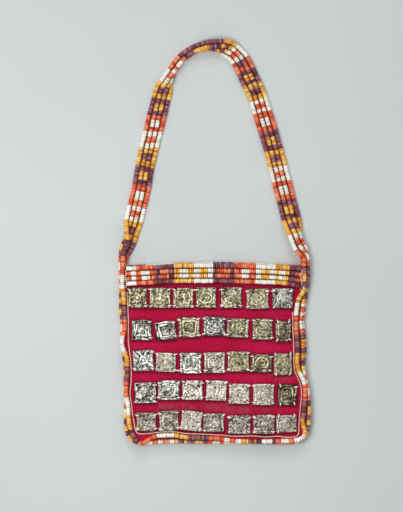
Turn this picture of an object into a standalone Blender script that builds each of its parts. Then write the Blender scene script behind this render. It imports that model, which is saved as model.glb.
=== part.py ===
# A small beaded shoulder bag lying on its back, mouth up the +Y axis, front up.
# The origin is the middle of the pouch's flat back face. Lengths are in metres.
# Two cloth panels make the pouch. A band of four strings of shell beads runs
# round its sides and bottom, folded over the seam, and goes on as the strap.

import math

import bmesh
import bpy
from mathutils import Matrix, Vector

# Pouch and strap
POUCH_HALF_WIDTH = 0.090
POUCH_HALF_HEIGHT = 0.08975
STRAP_RISE = 0.218
CLOTH_THICKNESS = 0.0009
FRONT_CROWN = 0.0027
MOUTH_HEM = 0.0012

# Strings of beads
STRING_DIAMETER = 0.0046
STRING_SPACING = 0.0004
LEFT_LEAN = math.radians(60)
FRONT_LEAN = math.radians(44)
BACK_LEAN = math.radians(14)
RIGHT_SHIFT = 0.0020
BACK_BAND_RAISE = 0.0012
MOUTH_END_GAP = 0.0012
FAN_START = 0.0625
FAN_LENGTH = 0.025
BAND_RIB_ANGLES = (math.radians(30), math.radians(90), math.radians(150))

# Plaques and the couched thread
PLAQUE_SPACING_ACROSS = 0.0040
PLAQUE_SPACING_DOWN = 0.0115
PLAQUE_THICKNESS = 0.0006
HOLE_SIZE = 0.0018
HOLE_MARGIN = 0.0013
THREAD_DIAMETER = 0.0011

# Bending places of the strap, measured up from the mouth
SWING_DISTANCE = 0.009
ROOT_LENGTH = 0.018
ROOT_OVERLAP = 0.007

# Gap between pieces that touch, and lengths of facets
CLEARANCE = 0.0003
SEAT_CLEARANCE = 0.0004
STRING_STEP = 0.016
MOUTH_STEP = 0.012
FINE_STEP = 0.003
ROOT_STEP = 0.0015
BEND_TOLERANCE = 0.0001

# Counts
BAND_STRINGS = 4
FRONT_COLUMNS = 22
FRONT_ROWS = 18
BACK_COLUMNS = 18
BACK_ROWS = 16

# Shares of the pouch: how far the panels roll in from their edges, where the
# back rises over the beads at the mouth, how much the mouth strings spread to
# the right, and where the front inner string lies beside the back one
ROLL_ACROSS_SHARE = 0.14
ROLL_UP_SHARE = 0.12
MOUTH_RISE_SHARES = (0.79, 0.875)
FAN_SHARE = 0.18
RIGHT_SHIFT_SHARES = (0.79, 0.83, 0.94, 0.975)

# Photograph pixels that the places below are read in
PHOTO_MIDDLE = Vector((213.5, 352.75))
PHOTO_HALF_WIDTH = 90.0
PHOTO_HALF_HEIGHT = 89.75
PHOTO_MOUTH = 263.0
PHOTO_APEX = 45.0
PHOTO_PLAQUE = 20.0
PHOTO_COLUMN_PITCH = 23.9
PHOTO_ROW_PITCH = 31.1

# Silhouette string of the edging, down the left side, along the bottom, up the right
EDGING_PIXELS = [
    (120.6, 261), (120.4, 270), (120.6, 283), (121.2, 298), (120.8, 310), (122.3, 323),
    (122.6, 338), (124.2, 354), (125.3, 370), (125.5, 388), (126.2, 405), (126.1, 420),
    (127.2, 431), (131, 438.8), (138.5, 442.4), (152, 442), (170, 441.2), (192, 441.3),
    (215, 441.6), (242, 441.8), (268, 442), (286, 442.2), (296.5, 441.4), (304.2, 436.6),
    (307.8, 427), (309, 412), (308.4, 399), (306.8, 387), (304, 376.5), (302.8, 366),
    (304.4, 353), (304.2, 338), (302.4, 323), (303.8, 311), (305.2, 299), (307.2, 287),
    (308, 276), (307.8, 268), (307.4, 261),
]
# Front string of the edging next to the cloth, between the strap's roots
FRONT_STRING_PIXELS = [
    (122.9, 270), (122.6, 283), (123.9, 297), (124.6, 310), (125.2, 323), (124.6, 331),
    (122.9, 337.5), (122.2, 342.5), (123.2, 348), (125.4, 353), (127.1, 358), (127.6, 370),
    (127.2, 378), (126.4, 386), (126.4, 394), (127.8, 401), (128.6, 410), (128.8, 417),
    (129.9, 425), (132.4, 432.4), (135.6, 438.4), (138.8, 442.4), (142, 443.4), (145.4, 441.4),
    (150, 438), (157, 435.2), (165, 434.8), (175, 434.8), (187, 436.8), (205, 437.4),
    (222, 438.4), (232, 440), (250, 440.6), (270, 440.6), (287, 440.4), (296, 439.6),
    (301.4, 437.6), (304.6, 433.6), (303.8, 428), (301.8, 421.5), (303, 415), (303.9, 408),
    (304.8, 398), (304.8, 390), (303.5, 382.5), (300.8, 375.5), (298, 369.5), (296.9, 360),
    (297.2, 345), (296, 330), (295.8, 318), (296.1, 310), (297, 303), (298.3, 298),
    (300.6, 294.6), (302.9, 290.6), (303.9, 286), (304.2, 279), (304.2, 270),
]

# Couched thread on the cloth beside it
THREAD_PIXELS = [
    (127.2, 292), (127.8, 303), (128.4, 318), (128.5, 330), (128.6, 342), (129.6, 351),
    (130.9, 361), (131.4, 377.6), (130.2, 393.5), (131.8, 405.4), (132.6, 414), (134.2, 421.3),
    (135.1, 428), (137, 432.2), (141, 433.5), (150, 433), (162, 431.6), (175, 431.5), (187, 433.2),
    (207, 434), (224, 435.1), (236, 436), (253, 435.6), (265, 436.6), (277, 436), (286, 436.8),
    (292, 436), (296.6, 433), (298.2, 428), (298.4, 421.5), (299.6, 414), (300.4, 405),
    (301.3, 396), (301.1, 388), (299.4, 381.5), (297, 376), (294.4, 369.5), (293.6, 358),
    (293.6, 345), (292.8, 330), (292.6, 312),
]
LEFT_CORNER_PIXEL = (131, 438.8)
RIGHT_CORNER_PIXEL = (304.2, 436.6)

# Middle line of the strap between its two roots
STRAP_PIXELS = [
    (123.5, 255), (125.6, 250.4), (128, 244.5), (130.8, 236), (134.2, 217), (140.5, 190),
    (146, 160), (153, 130), (162, 94), (166, 82), (171.5, 71), (179, 60.5), (190, 51),
    (204, 46), (217, 45.6), (229, 49), (238.5, 57), (244, 66), (250, 79), (257, 94),
    (262.5, 112), (270, 136), (276.5, 160), (282.5, 184), (288.8, 208), (292.2, 222),
    (295.1, 236), (298, 244.5), (301.6, 250.6), (304.3, 255.2),
]

# Top string of the mouth band
MOUTH_PIXELS = [
    (127, 268.6), (150, 267.4), (178, 265.9), (213, 265.5), (250, 266.2), (280, 267.6), (301, 269),
]

# Each plaque: middle x and y, width, height, turn in degrees
PLAQUE_PIXELS = [
    [(137.8, 297.9, 18.1, 19.4, 0), (160.2, 298.2, 20.1, 18.7, 0), (183.3, 298.2, 19.4, 18.7, 0),
     (206.1, 297.5, 19.4, 20.1, 0), (231.2, 297.5, 20.1, 20.1, 0), (257.3, 298.5, 21.4, 19.4, 1),
     (282.2, 298, 19.8, 19.7, 0)],
    [(141.8, 329.7, 19.4, 20.1, 0), (165.7, 330.4, 20, 18.5, 8), (189.2, 327, 20.5, 20.1, 1),
     (214.3, 326, 21.2, 19.4, 0), (237.6, 327.7, 20.8, 18.7, -2), (262.3, 328.9, 19.4, 21, 0),
     (283.1, 330.7, 15.4, 20.7, 0)],
    [(143.5, 360.2, 20.1, 20.7, 3), (165.9, 362, 19.4, 19.1, -2), (190.7, 362.7, 20.8, 20.5, 0),
     (214.5, 362.2, 20.1, 20.7, 0), (238.2, 361.2, 20.8, 20.1, 0), (261, 362.8, 20.8, 18.1, -1),
     (282.6, 363.8, 17.8, 21.4, 0)],
    [(145.5, 392.3, 21, 20.8, 2), (168.9, 389.6, 21, 19.4, 0), (192.4, 389.6, 20.1, 19.4, 0),
     (216.3, 390, 19.8, 20.1, -3), (239.2, 393.3, 20.1, 20.1, -1), (263.3, 394, 20.1, 21.4, 0),
     (287, 394.3, 18.7, 20.8, 0)],
    [(146.5, 421.4, 19.4, 18.7, 0), (168.9, 420.1, 18.7, 20.1, 3), (191.4, 420.1, 20.2, 20, -6),
     (213.7, 422.1, 20.2, 18.7, 0), (239.2, 424.1, 21.6, 18.8, 0), (263.7, 423.8, 20.4, 19.4, 0),
     (286.1, 423.1, 20.1, 17, 0)],
]

# How the band's four strings turn about each other along the strap: share of
# the strap's length, the angles of the three links between them, and how much
# the links stretch where the strings fan out of the edging
FLAT_SECTION = (0.0, 0.0, 0.0, 1.0)
FOLDED_SECTION = (0.0, -math.pi / 2, -math.pi, 1.0)
LEFT_ROOT_SECTION = (LEFT_LEAN - math.pi, -math.pi / 2, -BACK_LEAN, 1.0)
LEFT_FAN_SECTION = (math.radians(-125), math.radians(-50), 0.0, 1.12)
RIGHT_FAN_SECTION = (math.radians(130), math.radians(50), math.radians(15), 1.18)
RIGHT_ROOT_SECTION = (math.pi - BACK_LEAN, math.pi / 2, FRONT_LEAN, 1.0)
SECTION_SHARES = [
    (0.0, LEFT_ROOT_SECTION),
    (0.004, LEFT_ROOT_SECTION),
    (0.03, LEFT_FAN_SECTION),
    (0.115, FLAT_SECTION),
    (0.34, FLAT_SECTION),
    (0.41, FOLDED_SECTION),
    (0.47, FOLDED_SECTION),
    (0.56, FLAT_SECTION),
    (0.89, FLAT_SECTION),
    (0.974, RIGHT_FAN_SECTION),
    (0.996, RIGHT_ROOT_SECTION),
    (1.0, RIGHT_ROOT_SECTION),
]

# Sizes worked out from the ones above
STRING_RADIUS = STRING_DIAMETER / 2
STRING_PITCH = STRING_DIAMETER + STRING_SPACING
BACK_INNER_HEIGHT = STRING_RADIUS + STRING_PITCH * math.sin(BACK_LEAN)
FRONT_INNER_HEIGHT = BACK_INNER_HEIGHT + STRING_PITCH
FRONT_OUTER_HEIGHT = FRONT_INNER_HEIGHT + STRING_PITCH * math.sin(FRONT_LEAN)
FRONT_OUTER_INSET = STRING_PITCH * math.cos(FRONT_LEAN)
LEFT_OUTER_INSET = STRING_PITCH * math.cos(LEFT_LEAN)
BACK_OUTER_INSET = STRING_PITCH * math.cos(BACK_LEAN)
CLOTH_INSET = STRING_RADIUS + CLEARANCE
FRONT_SEAM_HEIGHT = FRONT_OUTER_HEIGHT - STRING_RADIUS - CLEARANCE - CLOTH_THICKNESS
BACK_SEAM_HEIGHT = FRONT_SEAM_HEIGHT - CLEARANCE - CLOTH_THICKNESS
AXIS_HEIGHT = (BACK_INNER_HEIGHT + FRONT_INNER_HEIGHT) / 2
SWING_AXIS = Vector((0, POUCH_HALF_HEIGHT + SWING_DISTANCE, AXIS_HEIGHT))
FOLD_AXIS = SWING_AXIS + Vector((0, ROOT_LENGTH, 0))
COLUMN_PITCH = POUCH_HALF_WIDTH * PHOTO_COLUMN_PITCH / PHOTO_HALF_WIDTH
ROW_PITCH = POUCH_HALF_HEIGHT * PHOTO_ROW_PITCH / PHOTO_HALF_HEIGHT
PLAQUE_WIDTH = COLUMN_PITCH - PLAQUE_SPACING_ACROSS
PLAQUE_HEIGHT = ROW_PITCH - PLAQUE_SPACING_DOWN


def clear_scene():
    for item in list(bpy.data.objects):
        bpy.data.objects.remove(item, do_unlink=True)


def make_material(name, colour, roughness, metallic):
    material = bpy.data.materials.new(name)
    material.use_nodes = True
    shader = material.node_tree.nodes["Principled BSDF"]
    shader.inputs["Base Color"].default_value = (*colour, 1.0)
    shader.inputs["Roughness"].default_value = roughness
    shader.inputs["Metallic"].default_value = metallic
    return material


def add_object(name, data, material, parent):
    item = bpy.data.objects.new(name, data)
    bpy.context.collection.objects.link(item)
    data.materials.append(material)
    item.parent = parent
    return item


def add_empty(name, place, parent=None):
    empty = bpy.data.objects.new(name, None)
    bpy.context.collection.objects.link(empty)
    empty.parent = parent
    empty.location = place - (parent.location if parent else Vector())
    return empty


# Curves in the plane of the table

def from_photo(px, py):
    x = (px - PHOTO_MIDDLE.x) / PHOTO_HALF_WIDTH * POUCH_HALF_WIDTH
    if py >= PHOTO_MOUTH:
        return Vector((x, (PHOTO_MIDDLE.y - py) / PHOTO_HALF_HEIGHT * POUCH_HALF_HEIGHT))
    rise = (PHOTO_MOUTH - py) / (PHOTO_MOUTH - PHOTO_APEX) * STRAP_RISE
    return Vector((x, POUCH_HALF_HEIGHT + rise))


def curve_through(points):
    ends = [2 * points[0] - points[1]] + points + [2 * points[-1] - points[-2]]
    line = []
    pieces = 8
    for a, b, c, d in zip(ends, ends[1:], ends[2:], ends[3:]):
        for i in range(pieces):
            t = i / pieces
            bend = (2 * a - 5 * b + 4 * c - d) * t**2 + (3 * b - a - 3 * c + d) * t**3
            line.append((2 * b + (c - a) * t + bend) / 2)
    return line + [points[-1]]


def line_length(line):
    return sum((b - a).length for a, b in zip(line, line[1:]))


def spread(line, count, start=0.0, end=1.0):
    """count points at equal distances along the line, from one share of it to another."""
    total = line_length(line)
    marks = [total * (start + (end - start) * i / (count - 1)) for i in range(count)]
    result = []
    walked = 0.0
    step = 0
    for mark in marks:
        while step < len(line) - 2 and walked + (line[step + 1] - line[step]).length < mark:
            walked += (line[step + 1] - line[step]).length
            step += 1
        share = (mark - walked) / (line[step + 1] - line[step]).length
        result.append(line[step].lerp(line[step + 1], share))
    return result


def thinned(line):
    """The line with only the points that its bends need."""
    kept = [line[0]]
    start = 0
    for end in range(2, len(line)):
        chord = line[end] - line[start]
        across = chord.normalized()
        skipped = [p - line[start] for p in line[start + 1 : end]]
        bend = max((p - across * p.dot(across)).length for p in skipped)
        if bend > BEND_TOLERANCE or chord.length > STRING_STEP:
            start = end - 1
            kept.append(line[start])
    return kept + [line[-1]]


def directions(line):
    ahead = line[1:] + [2 * line[-1] - line[-2]]
    behind = [2 * line[0] - line[1]] + line[:-1]
    return [(b - a).normalized() for a, b in zip(behind, ahead)]


def offset_line(line, inset):
    """The line moved to its left side, which is the inside of the edging."""
    return [p + inset * Vector((-d.y, d.x)) for p, d in zip(line, directions(line))]


def shifted_line(line):
    """The edging's line, moved in on the right side: the front inner string lies beside the back one."""
    start, full, hold, end = RIGHT_SHIFT_SHARES
    result = []
    for i, (place, ahead) in enumerate(zip(line, directions(line))):
        share = i / (len(line) - 1)
        inset = RIGHT_SHIFT * ease((share - start) / (full - start)) * ease((end - share) / (end - hold))
        result.append(place + inset * Vector((-ahead.y, ahead.x)))
    return result


def value_at(pairs, where):
    """Straight reading between (position, value) pairs in rising order."""
    for (a, low), (b, high) in zip(pairs, pairs[1:]):
        if where <= b:
            return low + (high - low) * max(0.0, (where - a) / (b - a))
    return pairs[-1][1]


def ease(share):
    share = min(1.0, max(0.0, share))
    return share * share * (3 - 2 * share)


EDGING_LINE = curve_through([from_photo(*pixel) for pixel in EDGING_PIXELS])
EDGING_LINE = spread(EDGING_LINE, round(line_length(EDGING_LINE) / FINE_STEP))
MOUTH_LINE = curve_through([from_photo(*pixel) for pixel in MOUTH_PIXELS])
INNER_LINE = shifted_line(EDGING_LINE)
CLOTH_LINE = offset_line(INNER_LINE, CLOTH_INSET)


def nearest_index(line, place):
    return min(range(len(line)), key=lambda i: (line[i] - place).length)


LEFT_INDEX = nearest_index(EDGING_LINE, from_photo(*LEFT_CORNER_PIXEL))
RIGHT_INDEX = nearest_index(EDGING_LINE, from_photo(*RIGHT_CORNER_PIXEL))
MOUTH_PAIRS = [(p.x, p.y) for p in MOUTH_LINE]


def below_mouth(line):
    """The side line up to the cloth's hem at the mouth."""
    hem = value_at(MOUTH_PAIRS, line[-1].x) + MOUTH_HEM
    kept = [p for p in line if p.y < hem]
    return kept + [Vector((kept[-1].x, hem))]


LEFT_SIDE = below_mouth(CLOTH_LINE[: LEFT_INDEX + 1][::-1])
RIGHT_SIDE = below_mouth(CLOTH_LINE[RIGHT_INDEX:])
BOTTOM_SIDE = CLOTH_LINE[LEFT_INDEX : RIGHT_INDEX + 1]
LEFT_PAIRS = [(p.y, p.x) for p in LEFT_SIDE]
RIGHT_PAIRS = [(p.y, p.x) for p in RIGHT_SIDE]
BOTTOM_PAIRS = [(p.x, p.y) for p in BOTTOM_SIDE]


# Heights of the cloth

def pouch_shares(x, y):
    left = value_at(LEFT_PAIRS, y)
    right = value_at(RIGHT_PAIRS, y)
    bottom = value_at(BOTTOM_PAIRS, x)
    top = value_at(MOUTH_PAIRS, x) + MOUTH_HEM
    return (x - left) / (right - left), (y - bottom) / (top - bottom)


def roll_in(across, up):
    sides = ease(across / ROLL_ACROSS_SHARE) * ease((1 - across) / ROLL_ACROSS_SHARE)
    return sides * ease(up / ROLL_UP_SHARE)


def front_height(x, y):
    """Lower face of the front panel."""
    return FRONT_SEAM_HEIGHT + FRONT_CROWN * roll_in(*pouch_shares(x, y))


def front_top(x, y):
    return front_height(x, y) + CLOTH_THICKNESS


def back_height(x, y):
    """Lower face of the back panel: flat on the table, up over the beads at the mouth."""
    across, up = pouch_shares(x, y)
    start, end = MOUTH_RISE_SHARES
    mouth = (STRING_DIAMETER + CLEARANCE) * ease((up - start) / (end - start))
    rolled = roll_in(across, up)
    return BACK_SEAM_HEIGHT * (1 - rolled) + mouth * rolled


# Cloth panels

def make_panel(name, columns, rows, height, material, parent):
    left = spread(LEFT_SIDE, rows + 1)
    right = spread(RIGHT_SIDE, rows + 1)
    bottom = spread(BOTTOM_SIDE, columns + 1)
    hem = [Vector((left[-1].x + (right[-1].x - left[-1].x) * i / columns, 0)) for i in range(columns + 1)]
    for point in hem:
        point.y = value_at(MOUTH_PAIRS, point.x) + MOUTH_HEM
    panel = bmesh.new()
    bmesh.ops.create_grid(panel, x_segments=columns, y_segments=rows, size=0.5)
    for vertex in panel.verts:
        i = round((vertex.co.x + 0.5) * columns)
        j = round((vertex.co.y + 0.5) * rows)
        u = i / columns
        v = j / rows
        low_corners = (1 - u) * left[0] + u * right[0]
        high_corners = (1 - u) * left[-1] + u * right[-1]
        corners = (1 - v) * low_corners + v * high_corners
        place = (1 - u) * left[j] + u * right[j] + (1 - v) * bottom[i] + v * hem[i] - corners
        vertex.co = (place.x, place.y, height(place.x, place.y))
    data = bpy.data.meshes.new(name)
    panel.to_mesh(data)
    panel.free()
    data.shade_smooth()
    item = add_object(name, data, material, parent)
    solid = item.modifiers.new("cloth", "SOLIDIFY")
    solid.thickness = CLOTH_THICKNESS
    solid.offset = 1
    return item


# Strings of beads and thread

def make_string(name, line, radius, material, parent):
    shift = parent.matrix_world.translation
    curve = bpy.data.curves.new(name, "CURVE")
    curve.dimensions = "3D"
    curve.bevel_depth = radius
    curve.bevel_resolution = 1
    curve.use_fill_caps = True
    spline = curve.splines.new("POLY")
    spline.points.add(len(line) - 1)
    for point, place in zip(spline.points, line):
        point.co = (*(place - shift), 1.0)
    return add_object(name, curve, material, parent)


def edging_string(line, height):
    return [Vector((p.x, p.y, height)) for p in thinned(line)]


def front_outer_string():
    """Lies on the front cloth, and climbs the silhouette string where it comes nearer to it."""
    start = EDGING_LINE[0] + Vector((LEFT_OUTER_INSET, 0))
    end = EDGING_LINE[-1] - Vector((FRONT_OUTER_INSET, 0))
    line = curve_through([start] + [from_photo(*pixel) for pixel in FRONT_STRING_PIXELS] + [end])
    result = []
    for place in spread(line, round(line_length(line) / FINE_STEP)):
        apart = min((place - other).length for other in INNER_LINE)
        climb = math.sqrt(max(0.0, STRING_PITCH**2 - apart**2))
        seat = seat_on_front(place.x, place.y, STRING_RADIUS)
        seat.z = max(seat.z, FRONT_INNER_HEIGHT + climb)
        result.append(seat)
    return thinned(result)


def section(share):
    """Places of the four strings across the band, as (to the inner side, up) pairs."""
    for (a, before), (b, after) in zip(SECTION_SHARES, SECTION_SHARES[1:]):
        if share <= b:
            break
    blend = ease((share - a) / (b - a))
    *angles, stretch = [first + (last - first) * blend for first, last in zip(before, after)]
    places = [Vector((0, 0))]
    for angle in angles:
        places.append(places[-1] + stretch * STRING_PITCH * Vector((math.cos(angle), math.sin(angle))))
    middle = (min(p.x for p in places) + max(p.x for p in places)) / 2
    lowest = min(p.y for p in places)
    return [Vector((p.x - middle, p.y - lowest + STRING_RADIUS)) for p in places]


def strap_line():
    to_left = section(0.0)[1].x
    to_right = section(1.0)[2].x
    start = EDGING_LINE[0] - Vector((to_left, 0))
    end = EDGING_LINE[-1] + Vector((to_right, 0))
    lead = Vector((0, FINE_STEP))
    middle = [from_photo(*pixel) for pixel in STRAP_PIXELS]
    return curve_through([start, start + lead] + middle + [end + lead, end])


STRAP_LINE = strap_line()
STRAP_LENGTH = line_length(STRAP_LINE)


def strap_string(number, start, end, step):
    """String number of the band between two distances along the strap's middle line."""
    count = round((end - start) / step) + 1
    shares = [(start + (end - start) * i / (count - 1)) / STRAP_LENGTH for i in range(count)]
    middle = spread(STRAP_LINE, count, shares[0], shares[-1])
    fine = step / STRAP_LENGTH
    result = []
    for share, place in zip(shares, middle):
        near, far = spread(STRAP_LINE, 2, max(0.0, share - fine), min(1.0, share + fine))
        ahead = (far - near).normalized()
        across, up = section(share)[number]
        result.append(Vector((place.x + ahead.y * across, place.y - ahead.x * across, up)))
    return thinned(result)


def mouth_span(left_inset, right_inset):
    """Positions along the mouth between the edging strings at these insets."""
    room = STRING_RADIUS + MOUTH_END_GAP - CLOTH_INSET
    left = value_at(LEFT_PAIRS, MOUTH_LINE[0].y) + left_inset + room
    right = value_at(RIGHT_PAIRS, MOUTH_LINE[-1].y) - right_inset - room
    count = round((right - left) / MOUTH_STEP)
    return [left + (right - left) * i / (count - 1) for i in range(count)]


def seat_on_front(x, y, radius):
    return Vector((x, y, front_top(x, y) + CLEARANCE + radius))


def mouth_string(number):
    line = []
    for x in mouth_span(LEFT_OUTER_INSET, FRONT_OUTER_INSET):
        fan = FAN_SHARE * max(0.0, (x - FAN_START) / FAN_LENGTH) ** 2
        drop = number * STRING_PITCH * (1 + fan)
        line.append(seat_on_front(x, value_at(MOUTH_PAIRS, x) - drop, STRING_RADIUS))
    return line


def make_back_band(name, material, parent):
    """The four strings sewn behind the mouth, as one ribbed band that the back cloth lies on."""
    stations = mouth_span(BACK_OUTER_INSET, BACK_OUTER_INSET)
    outline = []
    for number in range(BAND_STRINGS):
        for angle in BAND_RIB_ANGLES:
            across = math.cos(angle) * STRING_RADIUS - number * STRING_PITCH
            outline.append((across, math.sin(angle) * STRING_RADIUS))
    outline += [(across, -up) for across, up in outline[::-1]]
    band = bmesh.new()
    first_y = value_at(MOUTH_PAIRS, stations[0]) + BACK_BAND_RAISE
    ring = [band.verts.new((stations[0], first_y + across, STRING_RADIUS + up)) for across, up in outline]
    end = band.faces.new(ring)
    for before, after in zip(stations, stations[1:]):
        inner = end
        moved = bmesh.ops.extrude_face_region(band, geom=[inner])["geom"]
        end = next(item for item in moved if isinstance(item, bmesh.types.BMFace))
        shift = (after - before, value_at(MOUTH_PAIRS, after) - value_at(MOUTH_PAIRS, before), 0)
        bmesh.ops.translate(band, verts=end.verts, vec=shift)
        if before != stations[0]:
            bmesh.ops.delete(band, geom=[inner], context="FACES_ONLY")
    bmesh.ops.recalc_face_normals(band, faces=band.faces[:])
    data = bpy.data.meshes.new(name)
    band.to_mesh(data)
    band.free()
    return add_object(name, data, material, parent)


# Plaques

def plaque_frame(pixels):
    """Matrix of a plaque that lies on the front panel, with its width and height."""
    px, py, width_px, height_px, turn = pixels
    width = width_px / PHOTO_PLAQUE * PLAQUE_WIDTH
    height = height_px / PHOTO_PLAQUE * PLAQUE_HEIGHT
    middle = from_photo(px, py)
    half_x = width / 2
    half_y = height / 2
    slope_x = (front_top(middle.x + half_x, middle.y) - front_top(middle.x - half_x, middle.y)) / width
    slope_y = (front_top(middle.x, middle.y + half_y) - front_top(middle.x, middle.y - half_y)) / height
    lift = 0.0
    for i in (-1, -0.5, 0, 0.5, 1):
        for j in (-1, -0.5, 0, 0.5, 1):
            dx = i * half_x
            dy = j * half_y
            lift = max(lift, front_top(middle.x + dx, middle.y + dy) - slope_x * dx - slope_y * dy)
    up = Vector((-slope_x, -slope_y, 1)).normalized()
    tilt = Vector((0, 0, 1)).rotation_difference(up).to_matrix().to_4x4()
    turned = Matrix.Rotation(math.radians(turn), 4, "Z")
    place = Matrix.Translation((middle.x, middle.y, lift + SEAT_CLEARANCE))
    return place @ tilt @ turned, width, height


def corner_signs():
    return [(-1, -1), (1, -1), (1, 1), (-1, 1)]


def add_square(target, middle_x, middle_y, half_x, half_y):
    corners = []
    for i, j in corner_signs():
        corners.append(target.verts.new((middle_x + i * half_x, middle_y + j * half_y, 0)))
    return [target.edges.new((a, b)) for a, b in zip(corners, corners[1:] + corners[:1])]


def make_plaque(name, pixels, material, parent):
    matrix, width, height = plaque_frame(pixels)
    plate = bmesh.new()
    edges = add_square(plate, 0, 0, width / 2, height / 2)
    hole_x = width / 2 - HOLE_MARGIN - HOLE_SIZE / 2
    hole_y = height / 2 - HOLE_MARGIN - HOLE_SIZE / 2
    for i, j in corner_signs():
        edges += add_square(plate, i * hole_x, j * hole_y, HOLE_SIZE / 2, HOLE_SIZE / 2)
    bmesh.ops.triangle_fill(plate, use_beauty=True, edges=edges, normal=(0, 0, 1))
    data = bpy.data.meshes.new(name)
    plate.to_mesh(data)
    plate.free()
    item = add_object(name, data, material, parent)
    item.matrix_local = matrix
    solid = item.modifiers.new("sheet metal", "SOLIDIFY")
    solid.thickness = PLAQUE_THICKNESS
    solid.offset = 1
    return item


def make_bag():
    clear_scene()
    cloth = make_material("red wool", (0.49, 0.01, 0.04), 0.95, 0.0)
    shell = make_material("shell beads", (0.72, 0.30, 0.12), 0.45, 0.0)
    silver = make_material("tarnished silver", (0.45, 0.43, 0.38), 0.4, 1.0)
    cotton = make_material("cotton thread", (0.82, 0.76, 0.62), 0.9, 0.0)

    pouch = add_empty("pouch_frame", Vector())
    swing = add_empty("strap_swing_axis", SWING_AXIS, pouch)
    fold = add_empty("strap_fold_axis", FOLD_AXIS, swing)
    bpy.context.view_layer.update()

    make_panel("front_panel", FRONT_COLUMNS, FRONT_ROWS, front_height, cloth, pouch)
    make_panel("back_panel", BACK_COLUMNS, BACK_ROWS, back_height, cloth, pouch)

    make_string("edging_front_outer", front_outer_string(), STRING_RADIUS, shell, pouch)
    edging = {
        "edging_front_inner": (INNER_LINE, FRONT_INNER_HEIGHT),
        "edging_back_inner": (EDGING_LINE, BACK_INNER_HEIGHT),
        "edging_back_outer": (offset_line(EDGING_LINE, BACK_OUTER_INSET), STRING_RADIUS),
    }
    for name, (line, height) in edging.items():
        make_string(name, edging_string(line, height), STRING_RADIUS, shell, pouch)

    for number in range(BAND_STRINGS):
        line = mouth_string(number)
        make_string(f"front_mouth_string_{number + 1}", line, STRING_RADIUS, shell, pouch)
    make_back_band("back_mouth_band", shell, pouch)

    thread_line = curve_through([from_photo(*pixel) for pixel in THREAD_PIXELS])
    thread = [seat_on_front(p.x, p.y, THREAD_DIAMETER / 2) for p in thread_line]
    make_string("edging_thread", thinned(thread), THREAD_DIAMETER / 2, cotton, pouch)

    for row, plaques in enumerate(PLAQUE_PIXELS, start=1):
        for column, pixels in enumerate(plaques, start=1):
            make_plaque(f"plaque_r{row}_c{column}", pixels, silver, pouch)

    loop_start = SWING_DISTANCE + ROOT_LENGTH + ROOT_OVERLAP
    loop_end = STRAP_LENGTH - loop_start
    for number in range(BAND_STRINGS):
        left = strap_string(number, CLEARANCE, loop_start - CLEARANCE, ROOT_STEP)
        right = strap_string(number, loop_end + CLEARANCE, STRAP_LENGTH - CLEARANCE, ROOT_STEP)
        loop = strap_string(number, loop_start, loop_end, FINE_STEP)
        make_string(f"left_root_string_{number + 1}", left, STRING_RADIUS, shell, swing)
        make_string(f"right_root_string_{number + 1}", right, STRING_RADIUS, shell, swing)
        make_string(f"strap_string_{number + 1}", loop, STRING_RADIUS, shell, fold)


make_bag()
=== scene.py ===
# Beaded shoulder bag, dressed for render: shell beads on their threads, woven
# crimson wool, embossed tarnished plaques and the stitches that hold them.
import math
import random

import bmesh
import bpy
from mathutils import Euler, Matrix, Vector, noise
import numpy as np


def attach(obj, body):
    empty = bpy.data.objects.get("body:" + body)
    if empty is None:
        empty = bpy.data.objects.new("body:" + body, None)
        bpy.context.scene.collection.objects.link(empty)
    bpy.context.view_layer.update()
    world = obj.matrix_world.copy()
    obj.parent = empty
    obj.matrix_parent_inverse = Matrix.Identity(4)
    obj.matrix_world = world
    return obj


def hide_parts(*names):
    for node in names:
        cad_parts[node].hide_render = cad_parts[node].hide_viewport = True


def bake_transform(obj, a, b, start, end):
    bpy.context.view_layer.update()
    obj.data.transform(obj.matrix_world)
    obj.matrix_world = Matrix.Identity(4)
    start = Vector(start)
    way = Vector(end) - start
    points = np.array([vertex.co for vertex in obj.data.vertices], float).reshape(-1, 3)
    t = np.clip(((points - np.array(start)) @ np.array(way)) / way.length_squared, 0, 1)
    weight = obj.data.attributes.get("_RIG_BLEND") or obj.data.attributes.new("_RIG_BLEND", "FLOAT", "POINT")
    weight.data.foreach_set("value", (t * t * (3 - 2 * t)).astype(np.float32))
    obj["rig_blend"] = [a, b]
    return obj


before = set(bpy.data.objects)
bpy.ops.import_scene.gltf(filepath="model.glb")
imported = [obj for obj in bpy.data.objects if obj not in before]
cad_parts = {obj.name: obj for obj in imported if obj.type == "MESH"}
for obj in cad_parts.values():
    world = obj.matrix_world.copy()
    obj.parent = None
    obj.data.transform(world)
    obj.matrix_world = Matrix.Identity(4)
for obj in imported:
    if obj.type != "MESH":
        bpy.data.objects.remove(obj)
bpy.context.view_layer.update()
print("frame loaded:", len(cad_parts), "nodes")

for old in [o for o in bpy.data.objects if o.type in ("CAMERA", "LIGHT")]:
    bpy.data.objects.remove(old)


def placed(name, data):
    shown = bpy.data.objects.new(name, data)
    bpy.context.scene.collection.objects.link(shown)
    return shown


# Shader helpers

def connect(tree, value, slot):
    if isinstance(value, Flow):
        tree.links.new(value.socket, slot)
    else:
        slot.default_value = value


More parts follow.
